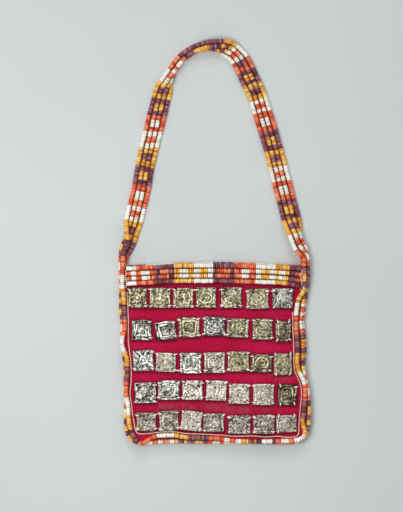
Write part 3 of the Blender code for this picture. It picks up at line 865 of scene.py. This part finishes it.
laceStrings("strap_lacing", [line[rootCount : count - rootCount] for line in strapLines], "strap_loop")
for side, flip in (("left", 1), ("right", -1)):
    ends = [line[::flip] for line in strapLines]
    low = laceStrings(side + "_root_lacing_low", [line[: splitCount + 1] for line in ends], "")
    high = laceStrings(side + "_root_lacing_high", [line[splitCount : rootCount + 1] for line in ends], "")
    bendRoot(low, high)
print("strap strung")


# Mouth bands, sewn over the front's hem and behind the back's

def mouthRoute(number, leftInset, rightInset, seat, fan=0.0, raised=0.0):
    room = beadRadius + strand["endGap"] - clothInset
    left = valueAt(leftPairs, mouthLine[0].y) + leftInset + room
    right = valueAt(rightPairs, mouthLine[-1].y) - rightInset - room
    count = round((right - left) / strand["step"])
    route = []
    for i in range(count):
        x = left + (right - left) * i / (count - 1)
        spreading = 1 + fan * max(0.0, (x - strand["fanStart"]) / strand["fanLength"]) ** 2
        route.append(seat(x, valueAt(mouthPairs, x) - number * strand["pitch"] * spreading + raised))
    return route


def mouthBeads(shape, line, blocks, solid, chance):
    ends = []
    for letter, pattern, end in blocks:
        x = fromPhoto(end, photo["mouth"]).x
        ends.append((letter if solid else pattern, Vector((x, valueAt(mouthPairs, x)))))
    stringBeads(line, colourRuns(ends, line, chance), chance, lambda place, mark: shape)


mouthLines = []
for number in range(4):
    line = mouthRoute(
        number, leftOuterInset, frontOuterInset,
        lambda x, y: seatOnFront(x, y, beadRadius), strand["fan"],
    )
    mouthLines.append(line)
    shape = beadShape()
    mouthBeads(shape, line, mouthBlocks, number in (0, 3), random.Random(140 + number))
    node = f"front_mouth_string_{number + 1}"
    finishBeads(node + "_beads", shape, node, "pouch")
laceStrings("front_mouth_lacing", mouthLines)
backBand = beadShape()
backLines = []
chance = random.Random(150)
for number in range(4):
    line = mouthRoute(
        number, backOuterInset, backOuterInset,
        lambda x, y: Vector((x, y, beadRadius)), raised=strand["backRaise"],
    )
    backLines.append(line)
    mouthBeads(backBand, line, backBlocks, number in (0, 3), chance)
laceStrings("back_mouth_lacing", backLines)
finishBeads("back_mouth_band_beads", backBand, "back_mouth_band", "pouch")
print("mouth bands strung")


# Cloth

cloth = {
    "columns": 150,
    "rows": 146,
    # strength, reach and shift to the right and down of the painted shadow, with some dirt, round the
    # plaques and below the mouth band
    "soil": 0.75,
    "shadeAndDirtReach": 0.0017,
    "shadeAndDirtShift": (0.0003, -0.0008),
    "bandDepth": 0.0168,
    "pucker": 0.00024,
    "puckerSize": 90.0,
    # middle, half length and half width of the strips whose nap is worn off
    "worn": [
        (0.024, -0.0545, 0.036, 0.0055),
        (-0.038, -0.0545, 0.022, 0.0045),
        (0.068, -0.022, 0.014, 0.005),
    ],
}


def clothThreads(finish, direction, scale):
    # the ribs of the warp or of the weft
    return finish.node(
        "ShaderNodeTexWave", {"bands_direction": direction}, output="Fac",
        Vector=finish.spot, Scale=scale, Distortion=2.2, Detail=2.0, Detail_Scale=1.5,
    )


def clothFinish(name):
    finish = Finish(
        name, 0.95, Sheen_Weight=0.18, Sheen_Roughness=0.6,
        Sheen_Tint=fromScreen(232, 90, 120), Specular_IOR_Level=0.2,
    )
    warp = clothThreads(finish, "X", 250.0)
    weft = clothThreads(finish, "Y", 290.0)
    felt = finish.noise(760, 3.0)
    fuzz = finish.noise(2200, 3.0)
    patches = finish.noise(34, 4.0)
    weave = warp * 0.4 + weft * 0.4 + fuzz * 0.3
    tone = (weave * 0.3 + felt * 1.1 + patches * 0.5 - 0.5).clamped()
    colour = finish.ramp(
        tone, (0.1, fromScreen(140, 2, 40)), (0.5, fromScreen(187, 7, 60)), (0.9, fromScreen(215, 46, 95)),
    )
    worn = finish.attribute("worn")
    spots = finish.noise(210, 4.0, roughness=0.7)
    rubbed = (worn * (spots * 7.0 - 2.9)).clamped() * 0.8
    faded = finish.mix(colour, fromScreen(150, 70, 78), rubbed)
    # painted shadow with some dirt: the wool goes deep crimson round the plaques, under their holes and
    # below the mouth band
    soiled = (finish.attribute("soiled") * (felt + 0.5)).clamped()
    finish.feed("Base Color", finish.mix(faded, fromScreen(66, 4, 20), soiled))
    finish.bump(weave + felt * 0.5, 0.0004, 0.8)
    return finish.material


wool = clothFinish("crimson_wool")


def rubbedShare(place):
    # how far the nap is worn off between the plaques
    share = 0.0
    for x, y, halfLength, halfWidth in cloth["worn"]:
        along = (place.x - x) / halfLength
        across = (place.y - y) / halfWidth
        share = max(share, math.exp(-(along**4) - across**2))
    return share


# the plaques' outlines, moved right and down so that the painted shadow falls mostly below them
plaqueHalves = []
for pixelRow in plaquePixels:
    for px, py, widthPixels, heightPixels, turn in pixelRow:
        half = Vector((widthPixels, heightPixels)) * pouch["halfWidth"] / photo["halfWidth"] / 2
        plaqueHalves.append((fromPhoto(px, py) + Vector(cloth["shadeAndDirtShift"]), half))


def shadeAndDirtShare(place):
    # painted shadow with some dirt along the plaques' edges, most of it below them, and painted shadow below
    # the mouth band
    nearest = math.inf
    for middle, half in plaqueHalves:
        away = place - middle
        beyondX = abs(away.x) - half.x
        beyondY = abs(away.y) - half.y
        if max(beyondX, beyondY) < nearest:
            nearest = min(nearest, math.hypot(max(0.0, beyondX), max(0.0, beyondY)))
    below = valueAt(mouthPairs, place.x) + cloth["shadeAndDirtShift"][1] - cloth["bandDepth"] - place.y
    nearest = min(nearest, max(0.0, below))
    return cloth["soil"] * math.exp(-((nearest / cloth["shadeAndDirtReach"]) ** 2))


def clothPanel(name, node, height, seed, plated=False):
    columns = cloth["columns"]
    rows = cloth["rows"]
    left = spread(leftSide, rows + 1)
    right = spread(rightSide, rows + 1)
    bottom = spread(bottomSide, columns + 1)
    hem = []
    for i in range(columns + 1):
        x = left[-1].x + (right[-1].x - left[-1].x) * i / columns
        hem.append(Vector((x, valueAt(mouthPairs, x) + pouch["hem"])))
    panel = bmesh.new()
    worn = panel.verts.layers.float.new("worn")
    soiled = panel.verts.layers.float.new("soiled")
    bmesh.ops.create_grid(panel, x_segments=columns, y_segments=rows, size=0.5)
    for vertex in panel.verts:
        i = round((vertex.co.x + 0.5) * columns)
        j = round((vertex.co.y + 0.5) * rows)
        u = i / columns
        v = j / rows
        lower = left[0].lerp(right[0], u)
        upper = left[-1].lerp(right[-1], u)
        place = left[j].lerp(right[j], u) + bottom[i].lerp(hem[i], v) - lower.lerp(upper, v)
        dip = noise.noise(Vector((place.x, place.y, seed)) * cloth["puckerSize"]) - 1
        vertex.co = (place.x, place.y, height(place.x, place.y) + dip * cloth["pucker"])
        vertex[worn] = rubbedShare(place)
        # painted shadow with some dirt, on the front cloth only
        vertex[soiled] = shadeAndDirtShare(place) if plated else 0.0
    piece = addPiece(name, meshOf(name, panel, [wool]), "pouch", node)
    thicken(piece, pouch["cloth"])
    return piece


frontPanel = clothPanel("front_cloth", "front_panel", frontHeight, 3.0, plated=True)
backPanel = clothPanel("back_cloth", "back_panel", backHeight, 8.0)
print("cloth laid")


# Plaques

# finish, embossing and clearness of each plaque, row by row
plaqueStyles = [
    ["dark rays worn", "olive boss worn", "olive squares worn", "olive rings worn",
     "olive rings worn", "olive rings soft", "silver rings worn"],
    ["silver squares clear", "silver squares clear", "olive squares clear", "silver rings worn",
     "olive boss worn", "olive rings worn", "dark squares worn"],
    ["silver rays worn", "pale hammered soft", "silver squares worn", "pale rings worn",
     "olive rings soft", "dark rings clear", "olive hammered worn"],
    ["silver curls worn", "silver squares worn", "bright diamond worn", "bright dots soft",
     "pale rings soft", "pale boss soft", "dark squares clear"],
    ["dull rings soft", "dull curls worn", "bright dots soft", "dull boss worn",
     "dull rings worn", "dull hammered worn", "pale rings worn"],
]
plaque = {
    "columnPitch": 0.0239,
    "rowPitch": 0.0311,
    "spacingAcross": 0.0040,
    "spacingDown": 0.0115,
    "photoSize": 20.0,
    "seat": 0.0004,
    "seatShares": (-1, -0.5, 0, 0.5, 1),
    "sheet": 0.00042,
    "grid": 54,
    "relief": 0.00046,
    "hammer": 0.00014,
    "curl": 0.0005,
    "holeMargin": 0.0022,
    "holeRadius": 0.0013,
    "rimReach": 1.7,
    "dishShare": 0.6,
    "dish": 0.00032,
    # reach of the dirt and painted shade round the holes
    "dirt": 0.0016,
    "ragged": 0.00035,
    "chasing": 285.0,
    "sway": 0.2,
    "clear": (1.0, 0.36),
    "worn": (0.68, 0.5),
    "soft": (0.46, 0.36),
}
# plaques that are paler or darker than their finish, by row and column
toneShifts = {
    (1, 2): 0.06, (1, 3): 0.04, (1, 7): 0.06, (2, 2): -0.07, (2, 3): -0.05, (2, 4): -0.13, (2, 5): 0.04,
    (3, 1): -0.03, (3, 3): 0.08, (3, 6): 0.05, (3, 7): 0.15, (4, 5): 0.05, (4, 6): 0.08, (4, 7): -0.08,
    (5, 1): -0.08, (5, 2): 0.03, (5, 4): 0.13, (5, 6): 0.12, (5, 7): 0.09,
}
plaqueWidth = plaque["columnPitch"] - plaque["spacingAcross"]
plaqueHeight = plaque["rowPitch"] - plaque["spacingDown"]


def plaqueFinish(name, dark, middle, pale):
    finish = Finish(name, Metallic=0.6)
    relief = finish.attribute("relief")
    grain = finish.noise(900, 4.0, roughness=0.65)
    stains = finish.noise(190, 3.0)
    tone = (relief + grain * 0.26 + stains * 0.36 - 0.32).clamped()
    finish.feed("Base Color", finish.ramp(tone, (0.04, dark), (0.42, middle), (0.84, pale)))
    finish.feed("Roughness", (0.62 - tone * 0.28).clamped())
    finish.bump(grain, 0.00016, 0.7)
    return finish.material


plaqueColours = {
    "silver": ("tarnished_silver", (28, 28, 26), (142, 140, 130), (246, 244, 236)),
    "bright": ("bright_silver", (58, 52, 44), (190, 181, 167), (246, 240, 230)),
    "pale": ("pale_silver", (54, 48, 40), (172, 162, 146), (232, 224, 208)),
    "dull": ("dull_silver", (54, 48, 42), (154, 142, 129), (236, 228, 214)),
    "olive": ("olive_brass", (44, 40, 22), (150, 140, 109), (222, 214, 184)),
    "dark": ("dark_brass", (24, 20, 12), (114, 101, 74), (214, 202, 170)),
}
plaqueFinishes = {}
for word, (finishName, *colours) in plaqueColours.items():
    plaqueFinishes[word] = plaqueFinish(finishName, *[fromScreen(*colour) for colour in colours])


def plaqueFrame(pixels):
    px, py, widthPixels, heightPixels, turn = pixels
    width = widthPixels / plaque["photoSize"] * plaqueWidth
    height = heightPixels / plaque["photoSize"] * plaqueHeight
    middle = fromPhoto(px, py)
    halfX = width / 2
    halfY = height / 2
    slopeX = (frontTop(middle.x + halfX, middle.y) - frontTop(middle.x - halfX, middle.y)) / width
    slopeY = (frontTop(middle.x, middle.y + halfY) - frontTop(middle.x, middle.y - halfY)) / height
    lift = 0.0
    for i in plaque["seatShares"]:
        for j in plaque["seatShares"]:
            flat = slopeX * i * halfX + slopeY * j * halfY
            lift = max(lift, frontTop(middle.x + i * halfX, middle.y + j * halfY) - flat)
    tilt = up.rotation_difference(Vector((-slopeX, -slopeY, 1)).normalized()).to_matrix().to_4x4()
    place = Matrix.Translation((middle.x, middle.y, lift + plaque["seat"]))
    return place @ tilt @ Matrix.Rotation(math.radians(turn), 4, "Z"), width, height


cornerSigns = [(-1, -1), (-1, 1), (1, -1), (1, 1)]


def holeAt(width, height, i, j):
    return Vector((i * (width / 2 - plaque["holeMargin"]), j * (height / 2 - plaque["holeMargin"]), 0))


def ridge(value, middle, width):
    return math.exp(-(((value - middle) / width) ** 2))


def embossing(kind, u, v):
    # height of the raised work, 0 to 1, at a place whose shares run from -1 to 1
    square = max(abs(u), abs(v))
    diamond = abs(u) + abs(v)
    ring = math.hypot(u, v)
    angle = math.atan2(v, u)
    boss = ridge(ring, 0, 0.2)
    border = ridge(square, 0.86, 0.07)
    if kind == "squares":
        return max(border * 0.8, ridge(square, 0.6, 0.09), ridge(square, 0.3, 0.07) * 0.7, boss)
    if kind == "boss":
        petals = ridge(ring, 0.5, 0.1) * (0.6 + 0.4 * math.cos(angle * 8))
        return max(border * 0.7, petals, ridge(ring, 0, 0.27))
    if kind == "diamond":
        corners = ridge(math.hypot(abs(u) - 0.62, abs(v) - 0.62), 0, 0.13)
        return max(border, ridge(diamond, 0.82, 0.1), ridge(diamond, 0.42, 0.08) * 0.7, corners, boss)
    if kind == "rings":
        corners = ridge(math.hypot(abs(u) - 0.66, abs(v) - 0.66), 0, 0.12)
        return max(border * 0.7, ridge(ring, 0.6, 0.09), ridge(ring, 0.33, 0.07) * 0.8, corners, boss * 0.9)
    if kind == "rays":
        rays = ridge(ring, 0.68, 0.22) * max(0.0, math.cos(angle * 10))
        return max(border * 0.6, rays, ridge(ring, 0.36, 0.08), boss)
    if kind == "curls":
        spiral = ridge(math.sin(ring * 7.5 - angle), 1.0, 0.5)
        return max(border * 0.5, spiral * ridge(ring, 0.5, 0.45), boss * 0.6)
    if kind == "dots":
        dots = 0.0
        for i in range(-2, 3):
            for j in range(-2, 3):
                if max(abs(i), abs(j)) in (0, 2):
                    dots = max(dots, ridge(math.hypot(u - i * 0.36, v - j * 0.36), 0, 0.12))
        return max(border * 0.5, dots, ridge(square, 0.4, 0.08) * 0.8, boss)
    return max(border * 0.5, boss * 0.6, ridge(square, 0.5, 0.12) * 0.3)


def chasing(spot):
    # short punched lines between the main work
    wave = noise.noise(spot) + 0.5 * noise.noise(spot * 2.1)
    return ridge(wave, 0.08, 0.15)


def nearestHole(holes, place):
    return min(holes, key=lambda hole: (place - hole).length)


def punchHoles(plate, holes):
    # round holes whose metal dishes down. The lowest vertices are returned
    cut = []
    for face in plate.faces:
        middle = face.calc_center_median()
        if (middle - nearestHole(holes, middle)).length < plaque["holeRadius"]:
            cut.append(face)
    bmesh.ops.delete(plate, geom=cut, context="FACES")
    rims = set()
    for vertex in plate.verts:
        hole = nearestHole(holes, vertex.co)
        away = vertex.co - hole
        if vertex.is_boundary and away.length < plaque["rimReach"] * plaque["holeRadius"]:
            vertex.co = hole + away.normalized() * plaque["holeRadius"]
            rims.add(vertex)
    rimEdges = [edge for edge in plate.edges if edge.is_boundary and rims.issuperset(edge.verts)]
    made = bmesh.ops.extrude_edge_only(plate, edges=rimEdges)["geom"]
    lips = {item for item in made if isinstance(item, bmesh.types.BMVert)}
    for vertex in lips:
        vertex.co = nearestHole(holes, vertex.co).lerp(vertex.co, plaque["dishShare"])
    return lips


def makePlaque(node, pixels, style, paler, seed):
    finish, kind, clearness = style.split()
    strength, busy = plaque[clearness]
    matrix, width, height = plaqueFrame(pixels)
    chance = random.Random(seed)
    curls = [chance.uniform(0.0, 1.0) for sign in cornerSigns]
    drift = Vector((chance.uniform(-50, 50), chance.uniform(-50, 50), seed))
    plate = bmesh.new()
    relief = plate.verts.layers.float.new("relief")
    cells = plaque["grid"]
    bmesh.ops.create_grid(plate, x_segments=cells, y_segments=cells, size=0.5)
    bmesh.ops.scale(plate, vec=(width, height, 1), verts=plate.verts)
    holes = [holeAt(width, height, i, j) for i, j in cornerSigns]
    lips = punchHoles(plate, holes)
    for vertex in plate.verts:
        u = vertex.co.x / width * 2
        v = vertex.co.y / height * 2
        spot = vertex.co * plaque["chasing"] + drift
        swayU = plaque["sway"] * noise.noise(spot * 0.45 + up * 20)
        swayV = plaque["sway"] * noise.noise(spot * 0.45 - up * 20)
        worn = min(1.15, max(0.2, 0.8 + 1.1 * noise.noise(spot * 0.36 + up * 60)))
        motif = embossing(kind, u * 1.02 + swayU, v * 1.02 + swayV) * strength * worn
        lines = chasing(spot) * busy
        work = min(1.0, motif + lines * (1 - 0.5 * motif))
        beaten = noise.noise(spot * 1.1 + up * 9) * 0.7 + noise.noise(spot * 2.5) * 0.5
        pits = ridge(noise.noise(spot * 1.9 + up * 33), -0.5, 0.16)
        edge = ridge(max(abs(u), abs(v)), 1.0, 0.08)
        away = (vertex.co - nearestHole(holes, vertex.co)).length
        # darker round each hole: dirt and the painted shade of the hole, where the raised work is also
        # flattened
        dirt = ridge(away, plaque["holeRadius"], plaque["dirt"] - plaque["holeRadius"])
        bent = 0.0
        for curl, (i, j) in zip(curls, reversed(cornerSigns)):
            bent += curl * max(0.0, u * i) ** 2 * max(0.0, v * j) ** 2
        level = 0.54 + paler + (work - (strength + busy) * 0.42) * 0.85
        shade = level + beaten * 0.26 + edge * 0.2 - dirt * 0.9 - pits * (0.2 + 0.55 * busy)
        vertex[relief] = min(1.0, max(0.0, shade))
        sway = Vector((noise.noise(spot * 0.8 + up * 40), noise.noise(spot * 0.8 - up * 40), 0))
        vertex.co += sway * plaque["ragged"] * edge
        rise = work * (1 - dirt) * plaque["relief"] + (beaten + 1.2 - pits) * plaque["hammer"]
        vertex.co.z = rise + bent * plaque["curl"] - (plaque["dish"] if vertex in lips else 0.0)
    plate.transform(matrix)
    name = node + "_embossed"
    mesh = meshOf(name, plate, [plaqueFinishes[finish]])
    thicken(addPiece(name, mesh, "pouch", node), plaque["sheet"])


for row, (pixelRow, styleRow) in enumerate(zip(plaquePixels, plaqueStyles), start=1):
    for column, (pixels, style) in enumerate(zip(pixelRow, styleRow), start=1):
        paler = toneShifts.get((row, column), 0.0)
        makePlaque(f"plaque_r{row}_c{column}", pixels, style, paler, 200 + row * 10 + column)
print("plaques embossed")


# Stitches through the plaques' holes, and the couched thread

stitch = {
    "radius": 0.00066,
    "reach": (0.0001, 0.001),
    "lean": 0.5,
    "leanShares": (-0.4, 1.0),
    "arch": 0.0002,
    "double": 0.36,
    "looseShare": 0.4,
    # along the stitch and up: out of the hole, to its top, over the edge and down into the cloth
    "start": (-0.0004, -0.0006),
    "rise": (-0.0001, -0.0002),
    "over": 0.0006,
    "overShare": 0.8,
    "sunk": 0.8,
    "fall": (-0.0004, 0.0004),
    "end": -0.0009,
    "bare": [(2, 1, -1, -1), (2, 2, -1, -1), (2, 2, -1, 1), (4, 1, -1, 1), (5, 4, 1, -1)],
    "bridges": [(1, 3, 1), (3, 2, -1)],
    "uprightColumns": (7,),
    "level": [(1, 7, -1, 1), (1, 7, 1, 1), (2, 7, 1, -1), (4, 7, 1, 1), (5, 7, 1, -1)],
}


stitchSeat = plaque["sheet"] + plaque["hammer"] * 1.6


def holePlace(pixels, i, j):
    matrix, width, height = plaqueFrame(pixels)
    return matrix @ holeAt(width, height, i, j)


def stitchRoute(pixels, i, j, upright, chance):
    # out of the hole, over the plate's edge and down into the cloth
    matrix, width, height = plaqueFrame(pixels)
    loose = Vector((chance.uniform(-1, 1), chance.uniform(-1, 1), 0))
    hole = holeAt(width, height, i, j) + loose * plaque["holeRadius"] * stitch["looseShare"]
    out = Vector((0, j, 0)) if upright else Vector((i, 0, 0))
    lean = chance.uniform(*stitch["leanShares"]) * stitch["lean"] * i * j * (-1 if upright else 1)
    out = Matrix.Rotation(lean, 3, "Z") @ out
    top = stitchSeat + stitch["radius"] * stitch["sunk"]
    far = plaque["holeMargin"] + chance.uniform(*stitch["reach"])
    steps = [
        stitch["start"],
        (stitch["rise"][0], top + stitch["rise"][1]),
        (stitch["over"], top + stitch["arch"]),
        (plaque["holeMargin"] * stitch["overShare"], top + stitch["arch"]),
        (far + stitch["fall"][0], stitch["fall"][1]),
        (far, stitch["end"]),
    ]
    return curveThrough([matrix @ (hole + out * along + up * height) for along, height in steps], 3)


def bridgeRoute(first, second):
    # one long stitch between the holes of two neighbours
    top = up * (stitchSeat + stitch["radius"] + stitch["arch"])
    below = up * stitch["start"][1]
    ahead = (second - first).normalized() * plaque["holeRadius"] * 0.5
    steps = [first + below, first + top * 0.7, first + ahead + top, (first + second) / 2 + top * 0.8]
    steps += [second - ahead + top, second + top * 0.7, second + below]
    return curveThrough(steps, 3)


chance = random.Random(400)
for row, pixelRow in enumerate(plaquePixels, start=1):
    routes = []
    bridged = set()
    for bridgeRow, column, j in stitch["bridges"]:
        if bridgeRow == row:
            first = holePlace(pixelRow[column - 1], 1, j)
            second = holePlace(pixelRow[column], -1, j)
            routes.append(bridgeRoute(first, second))
            bridged |= {(column, 1, j), (column + 1, -1, j)}
    for column, pixels in enumerate(pixelRow, start=1):
        for i, j in cornerSigns:
            upright = column in stitch["uprightColumns"] and (row, column, i, j) not in stitch["level"]
            count = 2 if chance.random() < stitch["double"] else 1
            if (row, column, i, j) in stitch["bare"] or (column, i, j) in bridged:
                continue
            for k in range(count):
                routes.append(stitchRoute(pixels, i, j, upright, chance))
    threadTubes(f"stitches_row_{row}", routes, stitch["radius"], stitchFinish)

couching = {
    "diameter": 0.0011,
    "strand": 0.00026,
    "turn": 0.0026,
    "step": 0.0004,
    "strands": 2,
    "bindingRise": 0.8,
}


def twistedRoutes(middle):
    # two strands laid round each other along the middle line
    radius = couching["strand"]
    routes = []
    for number in range(couching["strands"]):
        route = []
        for index, (place, ahead) in enumerate(zip(middle, directions(middle))):
            angle = math.tau * (index * couching["step"] / couching["turn"] + number / couching["strands"])
            side = ahead.cross(up).normalized()
            route.append(place + radius * (side * math.cos(angle) + side.cross(ahead) * math.sin(angle)))
        routes.append(route)
    return routes


def inSteps(line):
    return spread(line, round(lineLength(line) / couching["step"]))


threadLine = inSteps(curveThrough([fromPhoto(*pixel) for pixel in threadPixels]))
threadMiddle = [seatOnFront(p.x, p.y, couching["diameter"] / 2) for p in threadLine]
threadTubes(
    "couched_thread", twistedRoutes(threadMiddle), couching["strand"], cottonFinish, node="edging_thread",
)

# cream threads that bind the ends of the mouth band's strings to the edging
bindingPixels = {
    "mouth_binding_left": [(124.6, 269), (126.4, 273.5), (125.2, 278), (127.2, 282.5), (125.8, 288)],
    "mouth_binding_right": [(300.6, 266.5), (301.6, 272), (300.4, 277.5), (301.4, 283), (299.8, 290)],
}
for name, pixels in bindingPixels.items():
    places = [fromPhoto(*pixel) for pixel in pixels]
    ends = [seatOnFront(p.x, p.y, couching["diameter"] / 2) for p in places]
    rise = up * strand["bead"] * couching["bindingRise"]
    line = [ends[0]] + [p + rise for p in ends[1:-1]] + [ends[-1]]
    routes = twistedRoutes(inSteps(curveThrough(line)))
    threadTubes(name, routes, couching["strand"], cottonFinish)
print("thread laid")


# Floor, light and camera

floorFinish = Finish("pale_paper", 0.9, Specular_IOR_Level=0.1)
cloud = floorFinish.noise(3.0, 2.0)
paper = floorFinish.ramp(cloud, (0.3, fromScreen(208, 214, 213)), (0.7, fromScreen(213, 219, 218)))
floorFinish.feed("Base Color", paper)
studio = {
    "floorSize": 3.0,
    "floorCells": 8,
    # low enough for the puckers of the back cloth
    "floorHeight": -0.0006,
    "lampTarget": (0, 0.08, 0),
    "lamps": {
        "key": {"place": (-0.3, 0.03, 0.88), "size": 0.36, "power": 4.1},
        "top": {"place": (0.0, 2.0, 2.0), "size": 1.3, "power": 18.0},
    },
    "sky": (0.95, 0.97, 1.0, 1.0),
    "skyStrength": 0.4,
    "middlePixel": (201.5, 256.0),
    "cameraHeight": 1.43,
    "lens": 100.0,
    "sensor": 36.0,
}
ground = bmesh.new()
cells = studio["floorCells"]
bmesh.ops.create_grid(ground, x_segments=cells, y_segments=cells, size=studio["floorSize"])
bmesh.ops.translate(ground, vec=(0, 0, studio["floorHeight"]), verts=ground.verts)
placed("floor", meshOf("floor", ground, [floorFinish.material]))

for name, lamp in studio["lamps"].items():
    light = bpy.data.lights.new(name, "AREA")
    light.size = lamp["size"]
    light.energy = lamp["power"]
    holder = placed(name, light)
    holder.location = lamp["place"]
    ahead = Vector(studio["lampTarget"]) - Vector(lamp["place"])
    holder.rotation_euler = ahead.to_track_quat("-Z", "Y").to_euler()

world = bpy.data.worlds.new("studio")
bpy.context.scene.world = world
world.use_nodes = True
world.node_tree.nodes["Background"].inputs["Color"].default_value = studio["sky"]
world.node_tree.nodes["Background"].inputs["Strength"].default_value = studio["skyStrength"]

cameraData = bpy.data.cameras.new("camera")
cameraData.lens = studio["lens"]
cameraData.sensor_width = studio["sensor"]
camera = placed("camera", cameraData)
camera.location = (*fromPhoto(*studio["middlePixel"]), studio["cameraHeight"])
bpy.context.scene.camera = camera
bpy.context.scene.view_settings.view_transform = "Standard"
